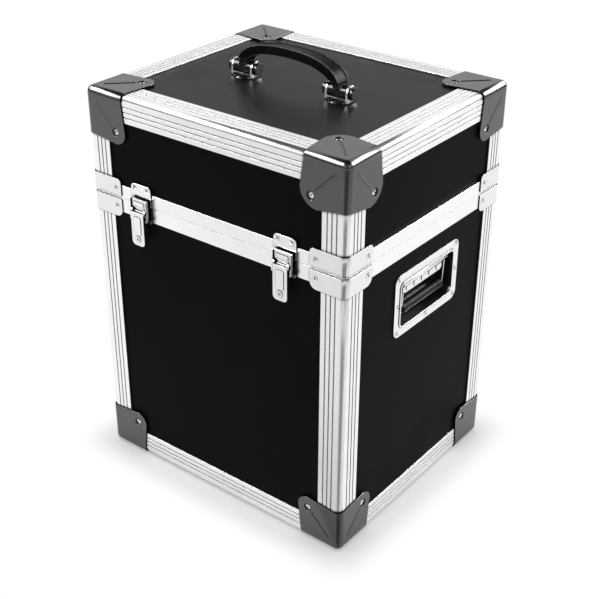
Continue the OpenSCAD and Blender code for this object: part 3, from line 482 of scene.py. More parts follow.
@dataclass(frozen=True)
class Laminate(Finish):
    """Black textured laminate outside, bare plywood in the holes and a dark backing sheet inside.

    Attributes:
        ply_colour: Colour of the plywood's cut edges.
        backing: Colour of the backing sheet.
        pebble_scale: Pebbles in a metre.
        pebble_depth: Depth of the texture in metres.
        backing_depth: Depth of the backing sheet below the case's faces in metres.
        sheen: Specular level of the laminate.
        cut_depth: Depth into a hole from which the plywood shows, in metres.
        line: Width over which one layer gives way to the next, in metres.
        paler: How much paler the laminate is where it is scuffed.
        scuff: How much rougher it is there.
        ply_scale: Plies and knots in a metre.
        ply_shade: Share of the plywood's colour that is left in its dark grain.
        ply_roughness: Roughness of the plywood.
    """

    ply_colour: Colour = (0.42, 0.27, 0.14)
    backing: Colour = (0.045, 0.032, 0.024)
    pebble_scale: float = 1100.0
    pebble_depth: float = 0.00006
    backing_depth: float = 0.0085
    sheen: float = 0.02
    cut_depth: ClassVar[float] = 0.3 * MM
    line: ClassVar[float] = 0.2 * MM
    paler: ClassVar[float] = 1.5
    scuff: ClassVar[float] = 0.1
    ply_scale: ClassVar[float] = 160.0
    ply_shade: ClassVar[float] = 0.6
    ply_roughness: ClassVar[float] = 0.65

    def paint(self, graph: Graph, shader: bpy.types.Node) -> None:
        """Adds the texture, the plywood, the backing and light scuffs.

        Args:
            graph: The material's graph.
            shader: Its Principled BSDF.
        """
        depth = self.below_faces(graph).outputs["Nearest"]
        inside = graph.steps(depth, self.backing_depth, self.backing_depth + self.line)
        cut_from = CASE.panel_out + self.cut_depth
        cut = graph.steps(depth, cut_from, cut_from + self.line)
        smears = self.use(graph, EFFECTS.smears, Scale=9.0, Cover=0.45).outputs["Mask"]
        plies = self.use(graph, EFFECTS.grain, Scale=self.ply_scale).outputs["Mask"]
        face = graph.blend(smears, self.colour, self.shade(self.paler, self.colour))
        wood = graph.blend(plies, self.ply_colour, self.shade(self.ply_shade, self.ply_colour))
        layers = graph.blend(inside, graph.blend(cut, face, wood), self.backing)
        graph.feed(shader.inputs["Base Color"], layers)
        rough = graph.steps(smears, 0.0, 1.0, self.roughness, self.roughness + self.scuff)
        sawn = graph.steps(cut, 0.0, 1.0, 0.0, self.ply_roughness)
        graph.feed(shader.inputs["Roughness"], graph.calc("MAXIMUM", rough, sawn))
        shader.inputs["Specular IOR Level"].default_value = self.sheen
        pebble = self.use(graph, EFFECTS.pebble, Scale=self.pebble_scale).outputs["Height"]
        self.emboss(graph, shader, pebble, self.pebble_depth)


@dataclass(frozen=True)
class Metal(Finish):
    """Drawn, pressed or plated metal.

    Attributes:
        along: The way its grain runs.
        grain_scale: Grain lines in a metre.
        grain_depth: Depth of the grain in metres.
        spread: How far the grain and smears vary the roughness.
        groove_shade: Painted shade in the ribbing grooves, as a colour, or None where it has none.
        rub_and_highlight: Share of pale colour on the edges, as wear and painted highlight.
        rub_and_highlight_colour: Colour of the pale edges.
        painted_shade: Distance over which joints and edges of raised pieces darken with painted shade,
            in metres, or 0.
        shade_strength: Share of painted shade in the darkest joints.
        black_below: Height up to which it is black, in metres, or None where it is bare.
        black_from_depth: Depth below the case's faces from which it is black, or None.
        dulled: Share of its colour that is left where it is dull.
        groove_wall: Depths below the faces between which a groove's wall darkens with painted shade, in
            metres.
        nose_end: Distances beyond the noses over which grooves begin, in metres.
        groove_roughness: Roughness in the grooves.
        pale_edge_radius: Radius within which an edge counts as pale, in metres.
        shaded_share: Share of its colour that is left under the painted shade.
        black_colour: Colour of the black part.
        black_roughness: Roughness of the black part.
        black_line: Half the width of the black part's edge, in metres.
    """

    along: Along = Along.NONE
    grain_scale: float = 1500.0
    grain_depth: float = 0.000002
    spread: float = 0.06
    groove_shade: Colour | None = None
    rub_and_highlight: float = 0.0
    rub_and_highlight_colour: Colour = (0.8, 0.8, 0.81)
    painted_shade: float = 3.5 * MM
    shade_strength: float = 0.85
    black_below: float | None = None
    black_from_depth: float | None = None
    dulled: ClassVar[float] = 0.95
    groove_wall: ClassVar[tuple[float, float]] = (0.1 * MM, 0.55 * MM)
    nose_end: ClassVar[tuple[float, float]] = (0.1 * MM, 0.4 * MM)
    groove_roughness: ClassVar[float] = 0.5
    pale_edge_radius: ClassVar[float] = 0.9 * MM
    shaded_share: ClassVar[float] = 0.04
    black_colour: ClassVar[Colour] = (0.006, 0.006, 0.006)
    black_roughness: ClassVar[float] = 0.35
    black_line: ClassVar[float] = 0.1 * MM

    def paint(self, graph: Graph, shader: bpy.types.Node) -> None:
        """Adds grain, smears, painted shade in grooves and joints, pale edges of wear and painted
        highlight, and black parts.

        Args:
            graph: The material's graph.
            shader: Its Principled BSDF.
        """
        shader.inputs["Metallic"].default_value = 1.0
        lines = self.use(graph, EFFECTS.grain, Stretch=self.along.value, Scale=self.grain_scale)
        grain = lines.outputs["Mask"]
        smears = self.use(graph, EFFECTS.smears, Scale=22.0, Cover=0.5).outputs["Mask"]
        varied = graph.calc("MULTIPLY", graph.calc("ADD", grain, smears), 0.5)
        colour = graph.blend(varied, self.colour, self.shade(self.dulled, self.colour))
        rough = graph.steps(varied, 0.0, 1.0, self.roughness, self.roughness + self.spread)
        # Painted shade in the ribbing grooves.
        if self.groove_shade:
            groove = self.grooves(graph)
            colour = graph.blend(groove, colour, self.groove_shade)
            rough = graph.calc("MAXIMUM", rough, graph.calc("MULTIPLY", groove, self.groove_roughness))
        # Pale edges: wear and a painted highlight.
        if self.rub_and_highlight:
            rubbed_and_highlit = self.use(graph, EFFECTS.pale_edges, Radius=self.pale_edge_radius, Amount=self.rub_and_highlight)
            colour = graph.blend(rubbed_and_highlit.outputs["Mask"], colour, self.rub_and_highlight_colour)
        # Painted shade darkens joints and the edges of raised pieces.
        if self.painted_shade:
            closed = self.use(graph, EFFECTS.painted_shade, Distance=self.painted_shade, Amount=self.shade_strength)
            colour = graph.blend(closed.outputs["Mask"], colour, self.shade(self.shaded_share, self.colour))
        # Black below a height or from a depth, and not metallic there.
        bare = self.bare_of_black(graph)
        if bare:
            colour = graph.blend(bare, self.black_colour, colour)
            black_rough = graph.steps(bare, 0.0, 1.0, self.black_roughness, 0.0)
            rough = graph.calc("MAXIMUM", rough, black_rough)
            graph.feed(shader.inputs["Metallic"], bare)
        graph.feed(shader.inputs["Base Color"], colour)
        graph.feed(shader.inputs["Roughness"], rough)
        self.emboss(graph, shader, grain, self.grain_depth)

    def grooves(self, graph: Graph) -> Socket:
        """Finds the ribbing grooves, which lie below the faces and clear of the noses.

        Args:
            graph: The material's graph.

        Returns:
            A mask that is 1 in the grooves.
        """
        below = self.below_faces(graph)
        flats = (CASE.nose_r + gap for gap in self.nose_end)
        sunk = graph.steps(below.outputs["Nearest"], *self.groove_wall)
        return graph.calc("MULTIPLY", sunk, graph.steps(below.outputs["Next"], *flats))

    def bare_of_black(self, graph: Graph) -> Socket | None:
        """Finds where a metal that is black in part is bare.

        Args:
            graph: The material's graph.

        Returns:
            A mask that is 1 on bare metal, or None where the metal has no black part.
        """
        if self.black_below is not None:
            _, _, height = graph.split(graph.place())
            line = (self.black_below - self.black_line, self.black_below + self.black_line)
            return graph.steps(height, *line)
        if self.black_from_depth is not None:
            line = (self.black_from_depth - self.black_line, self.black_from_depth + self.black_line)
            return graph.steps(self.below_faces(graph).outputs["Nearest"], *line, 1.0, 0.0)
        return None


@dataclass(frozen=True)
class Moulded(Finish):
    """Moulded plastic or rubber.

    Attributes:
        coat: Coat weight of its polish.
        polish_top: Heights between which the polish fades out, in metres, or None where it is even.
        sheen: Specular level.
        bloom: How much paler it is where handled.
        rub_and_highlight: Share of pale plastic on the edges, as wear and painted highlight.
        rub_and_highlight_colour: Colour of the pale edges.
        ease: Radius over which its edges look round, in metres, or 0.
        grain_scale: Grain in a metre.
        grain_depth: Depth of the grain in metres.
        scuff: How much rougher it is where handled.
        pale_edge_radius: Radius within which an edge counts as pale, in metres.
        coat_roughness: Roughness of the polish.
    """

    coat: float = 0.0
    polish_top: tuple[float, float] | None = None
    sheen: float = 0.5
    bloom: float = 1.6
    rub_and_highlight: float = 0.0
    rub_and_highlight_colour: Colour = (0.42, 0.42, 0.43)
    ease: float = 0.0
    grain_scale: float = 1200.0
    grain_depth: float = 0.00001
    scuff: ClassVar[float] = 0.08
    pale_edge_radius: ClassVar[float] = 0.8 * MM
    coat_roughness: ClassVar[float] = 0.06

    def paint(self, graph: Graph, shader: bpy.types.Node) -> None:
        """Adds fine grain, handling marks, pale edges of wear and painted highlight and, where polished,
        a coat.

        Args:
            graph: The material's graph.
            shader: Its Principled BSDF.
        """
        smears = self.use(graph, EFFECTS.smears, Scale=40.0, Cover=0.4).outputs["Mask"]
        grain = self.use(graph, EFFECTS.grain, Scale=self.grain_scale).outputs["Mask"]
        colour = graph.blend(smears, self.colour, self.shade(self.bloom, self.colour))
        # Pale edges: wear and a painted highlight.
        if self.rub_and_highlight:
            rubbed_and_highlit = self.use(graph, EFFECTS.pale_edges, Radius=self.pale_edge_radius, Amount=self.rub_and_highlight)
            colour = graph.blend(rubbed_and_highlit.outputs["Mask"], colour, self.rub_and_highlight_colour)
        graph.feed(shader.inputs["Base Color"], colour)
        rough = graph.steps(smears, 0.0, 1.0, self.roughness, self.roughness + self.scuff)
        graph.feed(shader.inputs["Roughness"], rough)
        shader.inputs["Coat Weight"].default_value = self.coat
        if self.polish_top:
            _, _, height = graph.split(graph.place())
            polish = graph.steps(height, *self.polish_top, self.coat, 0.0)
            graph.feed(shader.inputs["Coat Weight"], polish)
        shader.inputs["Coat Roughness"].default_value = self.coat_roughness
        shader.inputs["Specular IOR Level"].default_value = self.sheen
        self.emboss(graph, shader, grain, self.grain_depth, self.ease)


@dataclass(frozen=True)
class OpenCellFoam(Finish):
    """Charcoal foam with open cells.

    Attributes:
        cell_scale: Cells in a metre.
        cell_depth: Depth of the cells in metres.
        paler: How much paler the walls between the cells are.
        fuzz: Sheen weight of those walls.
        sheen: Specular level.
    """

    cell_scale: float = 1300.0
    cell_depth: float = 0.0004
    paler: float = 1.9
    fuzz: float = 0.3
    sheen: float = 0.2

    def paint(self, graph: Graph, shader: bpy.types.Node) -> None:
        """Adds the cells and the paler tops of the walls between them.

        Args:
            graph: The material's graph.
            shader: Its Principled BSDF.
        """
        cells = self.use(graph, EFFECTS.pebble, Scale=self.cell_scale).outputs["Height"]
        smears = self.use(graph, EFFECTS.smears, Scale=16.0, Cover=0.5).outputs["Mask"]
        sunk = graph.calc("MULTIPLY", graph.calc("ADD", cells, smears), 0.5)
        walls = self.shade(self.paler, self.colour)
        graph.feed(shader.inputs["Base Color"], graph.blend(sunk, walls, self.colour))
        shader.inputs["Sheen Weight"].default_value = self.fuzz
        shader.inputs["Specular IOR Level"].default_value = self.sheen
        self.emboss(graph, shader, cells, self.cell_depth)


@dataclass(frozen=True)
class CaseSizes:
    """Sizes of the case, worked out from the frame, in metres.

    Attributes:
        half_w: Half the width over the extrusions.
        half_d: Half the depth over the extrusions.
        half_h: Half the height over the extrusions.
        middle_z: Height of the case's middle.
        panel_out: Depth of the panels' faces below the extrusions' faces.
        foot_top: Height up to which the carrying handle's foot plates are black.
        barrel_polish: Heights between which the polish of the carrying handle's barrels fades out.
        nose_r: Radius of the extrusions' noses.
        foot_rise: Height over the bottom of those foot plates that takes in their thickness.
        polish_rise: Heights above the bow's lowest point between which the polish fades out.
    """

    half_w: float
    half_d: float
    half_h: float
    middle_z: float
    panel_out: float
    foot_top: float
    barrel_polish: tuple[float, float]
    nose_r: float = 7.0 * MM
    foot_rise: ClassVar[float] = 1.9 * MM
    polish_rise: ClassVar[tuple[float, float]] = (14.0 * MM, 18.0 * MM)

    @classmethod
    def measured(cls) -> "CaseSizes":
        """Reads the sizes from the edge extrusions, the front panel and the carrying handle.

        Returns:
            The sizes.
        """
        _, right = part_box("lid_edge_right")
        front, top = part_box("lid_edge_front")
        floor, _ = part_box("floor_edge_front")
        panel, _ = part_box("body_front_panel")
        foot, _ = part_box("top_handle_brackets")
        bow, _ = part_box("top_handle_bow")
        return cls(
            half_w=right.x,
            half_d=-front.y,
            half_h=(top.z - floor.z) / 2,
            middle_z=(top.z + floor.z) / 2,
            panel_out=panel.y - front.y,
            foot_top=foot.z + cls.foot_rise,
            barrel_polish=tuple(bow.z + rise for rise in cls.polish_rise),
        )


CASE = CaseSizes.measured()

LAMINATE = Laminate("laminate", (0.0045, 0.0045, 0.005), 0.38)
# A lit copy of the laminate for the lid's top panel: paler and glossier, as painted light from above.
LIT_TOP_LAMINATE = Laminate("laminate_top_lit", (0.007, 0.007, 0.0075), 0.36, sheen=0.15)
BRIGHT = (0.95, 0.95, 0.955)
# Painted shade in the ribbing grooves, darker on the horizontal edges than on the posts.
GROOVE_SHADES = {Along.X: (0.62, 0.62, 0.625), Along.Y: (0.62, 0.62, 0.625), Along.Z: (0.8, 0.8, 0.805)}
RIBBED = {
    along: Metal(f"ribbed_aluminium_{along.name.lower()}", BRIGHT, 0.2, along, groove_shade=shade_grey)
    for along, shade_grey in GROOVE_SHADES.items()
}
BAND = Metal("plain_aluminium", (0.97, 0.97, 0.975), 0.2, along=Along.LEVEL)
GUARD = Metal("guard_steel", (0.12, 0.12, 0.122), 0.17, rub_and_highlight=0.3, rub_and_highlight_colour=(0.5, 0.5, 0.51))
# Braces, rivets and chrome take painted shade in their joints.
BRACE = Metal(
    "brace_steel", (0.86, 0.86, 0.86), 0.2, along=Along.LEVEL, painted_shade=6.0 * MM, shade_strength=0.95
)
RIVET = Metal("rivet_steel", (0.92, 0.92, 0.92), 0.12, painted_shade=2.5 * MM, shade_strength=1.0)
CHROME = Metal("latch_chrome", (0.9, 0.9, 0.905), 0.1, painted_shade=5.0 * MM, shade_strength=0.95)
DISH_CHROME = Metal(
    "dish_chrome",
    (0.9, 0.9, 0.905),
    0.11,
    painted_shade=6.0 * MM,
    shade_strength=0.95,
    black_from_depth=CASE.panel_out + 1.2 * MM,
)
BAIL_CHROME = Metal("bail_chrome", (0.88, 0.88, 0.885), 0.1)
BRACKET_CHROME = Metal("bracket_chrome", (0.88, 0.88, 0.885), 0.08, black_below=CASE.foot_top)
PIN_STEEL = Metal("pin_steel", (0.62, 0.62, 0.63), 0.25)
SPRING_STEEL = Metal("spring_steel", (0.4, 0.4, 0.41), 0.3)
HINGE_STEEL = Metal("hinge_steel", (0.66, 0.66, 0.665), 0.28, along=Along.X)
# The handle's pale edges are painted highlights along its ridges.
HANDLE = Moulded(
    "handle_plastic",
    (0.004, 0.004, 0.0045),
    0.26,
    coat=0.6,
    polish_top=CASE.barrel_polish,
    sheen=0.05,
    rub_and_highlight=1.0,
    rub_and_highlight_colour=(0.6, 0.6, 0.61),
    ease=0.8 * MM,
)
CAP = Moulded("cap_plastic", (0.005, 0.005, 0.0055), 0.2, sheen=0.4, coat=0.2)
GRIP = Moulded(
    "grip_rubber", (0.01, 0.01, 0.0105), 0.45, sheen=0.12, bloom=1.8, grain_depth=0.00004
)
FOAM = OpenCellFoam("foam", (0.03, 0.03, 0.032), 0.95)


@dataclass
class Assembly:
    """A sub-assembly of CAD nodes that take finishes and eased edges.

    Attributes:
        weld_gap: Distance within which a mesh's points are one, in metres.
        sharp_angle: Degrees from which an edge is eased.
        edge_steps: Steps across each eased edge.
    """

    weld_gap: ClassVar[float] = 0.001 * MM
    sharp_angle: ClassVar[float] = 40.0
    edge_steps: ClassVar[int] = 2

    def build(self) -> None:
        """Dresses every piece of the sub-assembly."""
        raise NotImplementedError

    def dress(self, node: str, finish: Finish, edge: float = 0.0) -> None:
        """Gives a CAD node its finish and, where asked, eased edges.

        Args:
            node: The node's name.
            finish: Its finish.
            edge: Width of the eased edges in metres, or 0 to leave them sharp.
        """
        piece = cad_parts[node]
        material = finish.material()
        for slot in piece.material_slots:
            slot.material = material
        if edge:
            weld = piece.modifiers.new("joined faces", "WELD")
            weld.merge_threshold = self.weld_gap
            eased = piece.modifiers.new("eased edges", "BEVEL")
            eased.width = edge
            eased.segments = self.edge_steps
            eased.limit_method = "ANGLE"
            eased.angle_limit = math.radians(self.sharp_angle)
            eased.use_clamp_overlap = True
            eased.loop_slide = False
            eased.harden_normals = True
        LOG.info("%s: %s%s", node, finish.name, f", edges {edge / MM:.2f} mm" if edge else "")


@dataclass
class Shell(Assembly):
    """Panels, edge extrusions and the bands at the split.

    Attributes:
        edge_ease: Width of the extrusions' and bands' eased edges in metres.
    """

    edge_ease: float = 0.2 * MM

    def build(self) -> None:
        """Dresses the panels, extrusions and bands."""
        for part in ("body", "lid"):
            for side in ("front", "rear", "left", "right", "floor" if part == "body" else "top"):
                # The top panels take the lit copy of the laminate.
                self.dress(f"{part}_{side}_panel", LIT_TOP_LAMINATE if side == "top" else LAMINATE)
            self.dress(f"{part}_posts", RIBBED[Along.Z], self.edge_ease)
            self.dress(f"{part}_band", BAND, self.edge_ease)
        runs = {"front": Along.X, "rear": Along.X, "left": Along.Y, "right": Along.Y}
        for level in ("lid", "floor"):
            for side, along in runs.items():
                self.dress(f"{level}_edge_{side}", RIBBED[along], self.edge_ease)


@dataclass
class Corners(Assembly):
    """Pressed corner guards, braces at the split and the rivets.

    Attributes:
        guard_ease: Width of the guards' eased edges in metres.
        brace_ease: Width of the braces' eased edges in metres.
    """

    guard_ease: float = 0.35 * MM
    brace_ease: float = 0.3 * MM

    def build(self) -> None:
        """Dresses the guards, braces and rivets."""
        for level in ("upper", "lower"):
            for front in ("front", "rear"):
                for side in ("left", "right"):
                    self.dress(f"{level}_guard_{front}_{side}", GUARD, self.guard_ease)
        for part in ("body", "lid"):
            self.dress(f"{part}_braces", BRACE, self.brace_ease)
            self.dress(f"{part}_rivets", RIVET)


@dataclass
class Latches(Assembly):
    """The two draw latches.

    Attributes:
        sheet_ease: Width of the pressed pieces' eased edges in metres.
    """

    sheet_ease: float = 0.3 * MM

    def build(self) -> None:
        """Dresses the keepers, bases, levers, hooks and pins."""
        self.dress("latch_keepers", CHROME, self.sheet_ease)
        self.dress("latch_base_pins", PIN_STEEL)
        for side in ("left", "right"):
            for part in ("base", "lever", "hook"):
                self.dress(f"latch_{part}_{side}", CHROME, self.sheet_ease)
            self.dress(f"latch_link_pin_{side}", PIN_STEEL)


@dataclass
class SideHandles(Assembly):
    """The two recessed handles.

    Attributes:
        sheet_ease: Width of the dishes' and bails' eased edges in metres.
    """

    sheet_ease: float = 0.3 * MM

    def build(self) -> None:
        """Dresses the dishes, bails, grips, rods and springs."""
        for side in ("left", "right"):
            self.dress(f"side_dish_{side}", DISH_CHROME, self.sheet_ease)
            self.dress(f"side_bail_{side}", BAIL_CHROME, self.sheet_ease)
            self.dress(f"side_grip_{side}", GRIP)
        self.dress("side_handle_rods", PIN_STEEL)
        self.dress("side_handle_springs", SPRING_STEEL)


@dataclass
class TopHandle(Assembly):
    """The handle on the lid.

    Attributes:
        bracket_ease: Width of the brackets' and caps' eased edges in metres.
    """

    bracket_ease: float = 0.5 * MM

    def build(self) -> None:
        """Dresses the bow, brackets and pins."""
        self.dress("top_handle_bow", HANDLE)
        self.dress("top_handle_brackets", BRACKET_CHROME, self.bracket_ease)
        self.dress("top_handle_pins", CAP, self.bracket_ease)


@dataclass
class Hinges(Assembly):
    """The two rear hinges.

    Attributes:
        leaf_ease: Width of the leaves' and pins' eased edges in metres.
    """

    leaf_ease: float = 0.3 * MM

    def build(self) -> None:
        """Dresses the leaves and pins."""
        self.dress("hinge_body_leaves", HINGE_STEEL, self.leaf_ease)
        self.dress("hinge_lid_leaves", HINGE_STEEL, self.leaf_ease)
        self.dress("hinge_pins", PIN_STEEL, self.leaf_ease)


@dataclass
class FoamSheets:
    """The foam sheets in the floor and in the lid.

    Attributes:
        cuts: Divisions of each face.
        edge: Radius of the soft edges in metres.
        swell: Height of the soft waves in the face in metres.
        wave: Length of those waves in metres.
        rim: Distance from its edges over which the face sinks, in metres.
        shy: Gap left round each sheet in metres.
        edge_steps: Steps across each soft edge.
        sharp_angle: Degrees from which an edge is made soft.
    """

    cuts: int = 30
    edge: float = 1.4 * MM
    swell: float = 0.5 * MM
    wave: float = 60.0 * MM
    rim: float = 8.4 * MM
    shy: float = 0.25 * MM
    edge_steps: int = 4
    sharp_angle: float = 50.0

    def build(self) -> None:
        """Builds both sheets in place of their CAD nodes."""
        self.sheet("floor_foam", "case", upwards=True)
        self.sheet("lid_foam", "lid", upwards=False)

    def sheet(self, node: str, body: str, upwards: bool) -> None:
        """Builds one sheet as a soft slab with a gently waved open face.

        Args:
            node: The CAD node that it replaces.
            body: The body that carries it.
            upwards: Whether the open face looks up.
        """
        low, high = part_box(node)
        mesh = bpy.data.meshes.new(node + "_sheet")
        slab = bmesh.new()
        bmesh.ops.create_cube(slab, size=1.0)
        bmesh.ops.subdivide_edges(slab, edges=slab.edges, cuts=self.cuts, use_grid_fill=True)
        size = high - low - Vector((2 * self.shy, 2 * self.shy, 0.0))
        middle = (low + high) / 2
        for vert in slab.verts:
            open_share = (vert.co.z if upwards else -vert.co.z) + 0.5
            inward = min(0.5 - abs(vert.co.x), 0.5 - abs(vert.co.y)) * min(size.x, size.y)
            vert.co = middle + Vector(a * b for a, b in zip(vert.co, size))
            sunk = self.swell * (noise.noise(vert.co / self.wave) * 0.5 + 0.5)
            sunk += self.swell * math.exp(-inward / self.rim)
            vert.co.z -= (1 if upwards else -1) * sunk * open_share
        slab.to_mesh(mesh)
        slab.free()
        mesh.polygons.foreach_set("use_smooth", [True] * len(mesh.polygons))
        piece = bpy.data.objects.new(node + "_sheet", mesh)
        bpy.context.scene.collection.objects.link(piece)
        piece.data.materials.append(FOAM.material())
        eased = piece.modifiers.new("soft edges", "BEVEL")
        eased.width = self.edge
        eased.segments = self.edge_steps
        eased.limit_method = "ANGLE"
        eased.angle_limit = math.radians(self.sharp_angle)
        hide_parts(node)
        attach(piece, body)
        LOG.info("%s: soft sheet on %s", piece.name, body)


@dataclass(frozen=True)
class Lamp:
    """A soft rectangular lamp.

    Attributes:
        name: Its name.
        towards: Direction from the case's middle to it.
        distance: Its distance in metres.
        width: Its width in metres.
        height: Its height in metres.
        glow: Its brightness, where 1 is white.
        seen: What it lights.
    """

    name: str
    towards: tuple[float, float, float]
    distance: float
    width: float
    height: float
    glow: float
    seen: Seen

    def hang(self, target: Vector) -> None:
        """Adds the lamp, facing the target.

        Args:
            target: The point that it faces.
        """
        light = bpy.data.lights.new(self.name, "AREA")
        light.shape = "RECTANGLE"
        light.size, light.size_y = self.width, self.height
        light.energy = self.glow * math.pi * self.width * self.height
        lamp = bpy.data.objects.new(self.name, light)
        away = Vector(self.towards).normalized()
        lamp.location = target + away * self.distance
        lamp.rotation_mode = "QUATERNION"
        lamp.rotation_quaternion = away.to_track_quat("Z", "Y")
        lamp.visible_diffuse = self.seen is Seen.PLAINLY
        lamp.visible_glossy = self.seen is Seen.MIRRORED
        bpy.context.scene.collection.objects.link(lamp)


@dataclass
class Studio:
    """Floor, flags, lamps, sky and camera.

    Attributes:
        camera_place: Where the camera stands, in metres.
        azimuth: Degrees that it looks round from straight ahead.
        elevation: Degrees that it looks down.
        roll: Degrees that it leans.
        lens: Its focal length in mm.
        sensor: Width of its sensor in mm.
        floor_size: Length of the floor's sides in metres.
        floor_paint: Colour of the floor, as a grey.
        floor_lift: Share of plain white in what the camera and reflections see of the floor by the case.
        floor_fade: Distance from the case over which that share grows to the whole, in metres.
        sky_light: Brightness of the sky on plain surfaces.
        sky_low: Grey of the sky near the ground in reflections.
        sky_high: Grey of the sky overhead in reflections.
        sky_rise: Upward parts of a direction between which that low grey turns white.
        sky_close: Upward parts of a direction between which the white turns to the high grey.
        flag_grey: Grey of the flag behind the camera.
        camera_flag: Width and height of that flag in metres.
        camera_flag_place: Its middle before the camera's azimuth turns it, in metres.
        camera_flag_lean: Degrees that it is raised from flat.
        floor_flag: Width and length of the flag on the floor in metres.
        floor_flag_lift: Its height over the floor in metres.
        fan_spread: Degrees to each side that the flag on the floor spreads.
        fan_grey: Grey along that flag's middle.
        fan_edges: Shares of the spread between which that grey turns white.
        lamps: The lamps.
    """

    camera_place: tuple[float, float, float] = (0.7674, -0.9899, 0.9122)
    azimuth: float = 37.69
    elevation: float = 29.52
    roll: float = 0.27
    lens: float = 69.9
    sensor: float = 36.0
    floor_size: float = 14.0
    floor_paint: float = 0.93
    floor_lift: float = 0.35
    floor_fade: float = 0.05
    sky_light: float = 0.62
    sky_low: float = 0.12
    sky_high: float = 0.06
    sky_rise: tuple[float, float] = (0.1, 0.3)
    sky_close: tuple[float, float] = (0.6, 0.8)
    flag_grey: float = 0.01
    camera_flag: tuple[float, float] = (0.8, 0.7)
    camera_flag_place: tuple[float, float, float] = (0.0, -1.75, 1.15)
    camera_flag_lean: float = 65.0
    floor_flag: tuple[float, float] = (6.0, 1.5)
    floor_flag_lift: float = 2 * MM
    fan_spread: float = 50.0
    fan_grey: float = 0.28
    fan_edges: tuple[float, float] = (0.15, 0.9)
    lamps: tuple[Lamp, ...] = (
        Lamp("front_strip", (-0.54, -0.48, 0.69), 1.5, 1.1, 0.6, glow=14.0, seen=Seen.MIRRORED),
        Lamp("side_strip", (0.478, 0.689, 0.544), 1.5, 1.1, 0.6, glow=14.0, seen=Seen.MIRRORED),
        Lamp("overhead", (-0.1, 0.1, 1.0), 1.9, 1.9, 1.9, glow=1.5, seen=Seen.PLAINLY),
    )

    def build(self) -> None:
        """Builds the whole studio."""
        self.floor()
        self.sky()
        self.flags()
        for lamp in self.lamps:
            lamp.hang(Vector((0.0, 0.0, CASE.middle_z)))
        self.camera()
        bpy.context.scene.view_settings.view_transform = "Standard"

    def board(self, name: str, width: float, height: float) -> bpy.types.Object:
        """Makes a flat board about the origin, facing up.

        Args:
            name: Its name.
            width: Its size in X.
            height: Its size in Y.

        Returns:
            The board's object.
        """
        mesh = bpy.data.meshes.new(name)
        x, y = width / 2, height / 2
        mesh.from_pydata([(-x, -y, 0), (x, -y, 0), (x, y, 0), (-x, y, 0)], [], [(0, 1, 2, 3)])
        board = bpy.data.objects.new(name, mesh)
        bpy.context.scene.collection.objects.link(board)
        return board

    def floor(self) -> None:
        """Lays a pale floor that keeps the case's shadow and fades to white."""
        floor = self.board("studio_floor", self.floor_size, self.floor_size)
        material = bpy.data.materials.new("studio_floor")
        material.use_nodes = True
        graph = Graph(material.node_tree)
        nodes = material.node_tree.nodes
        output = next(n for n in nodes if n.type == "OUTPUT_MATERIAL")
        nodes.remove(next(n for n in nodes if n.type == "BSDF_PRINCIPLED"))
        paint = graph.node("BsdfDiffuse")
        paint.inputs["Color"].default_value = (*self.grey(self.floor_paint), 1.0)
        white = graph.node("Emission")
        rays = graph.node("LightPath").outputs
        seen = graph.calc("MAXIMUM", rays["Is Camera Ray"], rays["Is Glossy Ray"])
        seen = graph.calc("MAXIMUM", seen, rays["Is Transmission Ray"])
        half = (CASE.half_w, CASE.half_d, 0.0)
        beyond = graph.vector("SUBTRACT", graph.vector("ABSOLUTE", graph.place()), half)
        away = graph.vector("LENGTH", graph.vector("MAXIMUM", beyond, (0.0, 0.0, 0.0)))
        lift = graph.steps(away, 0.0, self.floor_fade, self.floor_lift, 1.0)
        mixed = graph.node("MixShader")
        graph.feed(mixed.inputs[0], graph.calc("MULTIPLY", seen, lift))
        graph.feed(mixed.inputs[1], paint.outputs[0])
        graph.feed(mixed.inputs[2], white.outputs[0])
        graph.feed(output.inputs["Surface"], mixed.outputs[0])
        floor.data.materials.append(material)

    def sky(self) -> None:
        """Makes the sky white to the camera and softly graded in reflections."""
        world = bpy.data.worlds.new("studio_sky")
        bpy.context.scene.world = world
        world.use_nodes = True
        graph = Graph(world.node_tree)
        world.node_tree.nodes.clear()
        _, _, upward = graph.split(graph.node("TexCoord").outputs["Generated"])
        risen = graph.steps(upward, *self.sky_rise)
        closed = graph.steps(upward, *self.sky_close)
        pale = graph.blend(risen, self.grey(self.sky_low), self.grey(1.0))
        graded = graph.blend(closed, pale, self.grey(self.sky_high))
        rays = graph.node("LightPath").outputs
        plain, mirrored, seen = (graph.node("Background") for _ in range(3))
        plain.inputs["Strength"].default_value = self.sky_light
        graph.feed(mirrored.inputs["Color"], graded)
        for white in (plain, seen):
            white.inputs["Color"].default_value = (*self.grey(1.0), 1.0)
        glossy = graph.node("MixShader")
        graph.feed(glossy.inputs[0], rays["Is Glossy Ray"])
        graph.feed(glossy.inputs[1], plain.outputs[0])
        graph.feed(glossy.inputs[2], mirrored.outputs[0])
        camera = graph.node("MixShader")
        clear = graph.calc("MAXIMUM", rays["Is Camera Ray"], rays["Is Transmission Ray"])
        graph.feed(camera.inputs[0], clear)
        graph.feed(camera.inputs[1], glossy.outputs[0])
        graph.feed(camera.inputs[2], seen.outputs[0])
        graph.feed(graph.node("OutputWorld").inputs["Surface"], camera.outputs[0])

    @staticmethod
    def grey(level: float) -> Colour:
        """Gives the grey of a level, where 1 is white."""
        return (level, level, level)

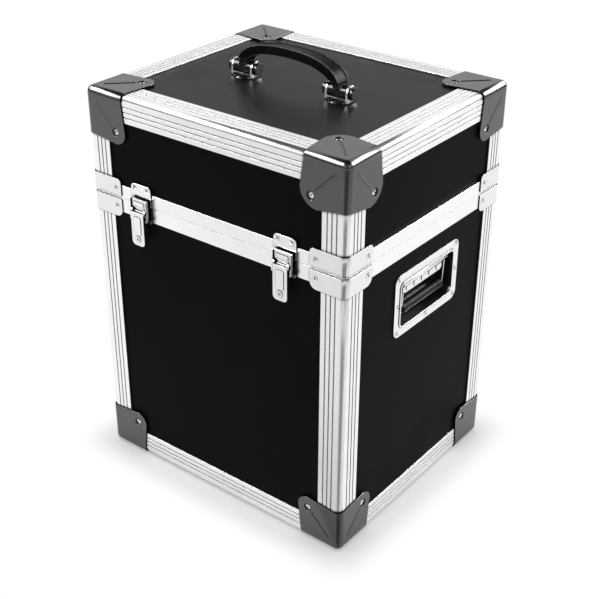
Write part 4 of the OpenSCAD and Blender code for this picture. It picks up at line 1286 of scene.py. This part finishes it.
    def flags(self) -> None:
        """Sets dark flags by the near corner that only reflections see."""
        turn = Matrix.Rotation(math.radians(self.azimuth), 4, "Z")
        standing = self.board("camera_flag", *self.camera_flag)
        lean = Matrix.Rotation(math.radians(self.camera_flag_lean), 4, "X")
        standing.matrix_world = turn @ Matrix.Translation(self.camera_flag_place) @ lean
        lying = self.board("floor_flag", *self.floor_flag)
        near_corner = (CASE.half_w, -CASE.half_d, self.floor_flag_lift)
        lying.matrix_world = Matrix.Translation(near_corner) @ turn
        lying.data.transform(Matrix.Translation((0.0, -self.floor_flag[1] / 2, 0.0)))
        for flag in (lying, standing):
            paint = bpy.data.materials.new("studio_" + flag.name)
            paint.use_nodes = True
            graph = Graph(paint.node_tree)
            shader = next(n for n in paint.node_tree.nodes if n.type == "BSDF_PRINCIPLED")
            shader.inputs["Base Color"].default_value = (*self.grey(self.flag_grey), 1.0)
            shader.inputs["Roughness"].default_value = 1.0
            shader.inputs["Specular IOR Level"].default_value = 0.0
            if flag is lying:
                across, along, _ = graph.split(graph.place())
                slope = graph.calc("ABSOLUTE", graph.calc("DIVIDE", across, along))
                spread = math.tan(math.radians(self.fan_spread))
                share = graph.steps(slope, *(edge * spread for edge in self.fan_edges))
                fan = graph.blend(share, self.grey(self.fan_grey), self.grey(1.0))
                graph.feed(shader.inputs["Base Color"], fan)
            flag.data.materials.append(paint)
            flag.visible_camera = False
            flag.visible_diffuse = False
            flag.visible_transmission = False
            flag.visible_shadow = False

    def camera(self) -> None:
        """Places the camera as the photograph was taken."""
        data = bpy.data.cameras.new("photo_camera")
        data.sensor_width = self.sensor
        data.lens = self.lens
        camera = bpy.data.objects.new("photo_camera", data)
        turn = Matrix.Rotation(math.radians(self.azimuth), 4, "Z")
        tilt = Matrix.Rotation(math.radians(90 - self.elevation), 4, "X")
        lean = Matrix.Rotation(math.radians(self.roll), 4, "Z")
        camera.matrix_world = Matrix.Translation(self.camera_place) @ turn @ tilt @ lean
        bpy.context.scene.collection.objects.link(camera)
        bpy.context.scene.camera = camera


def main() -> None:
    """Builds the sub-assemblies in order, then the studio."""
    logging.basicConfig(level=logging.INFO, format="%(name)s: %(message)s")
    for kind in (Shell, Corners, Latches, SideHandles, TopHandle, Hinges, FoamSheets, Studio):
        LOG.info("building %s", kind.__name__)
        kind().build()


if __name__ == "__main__":
    main()
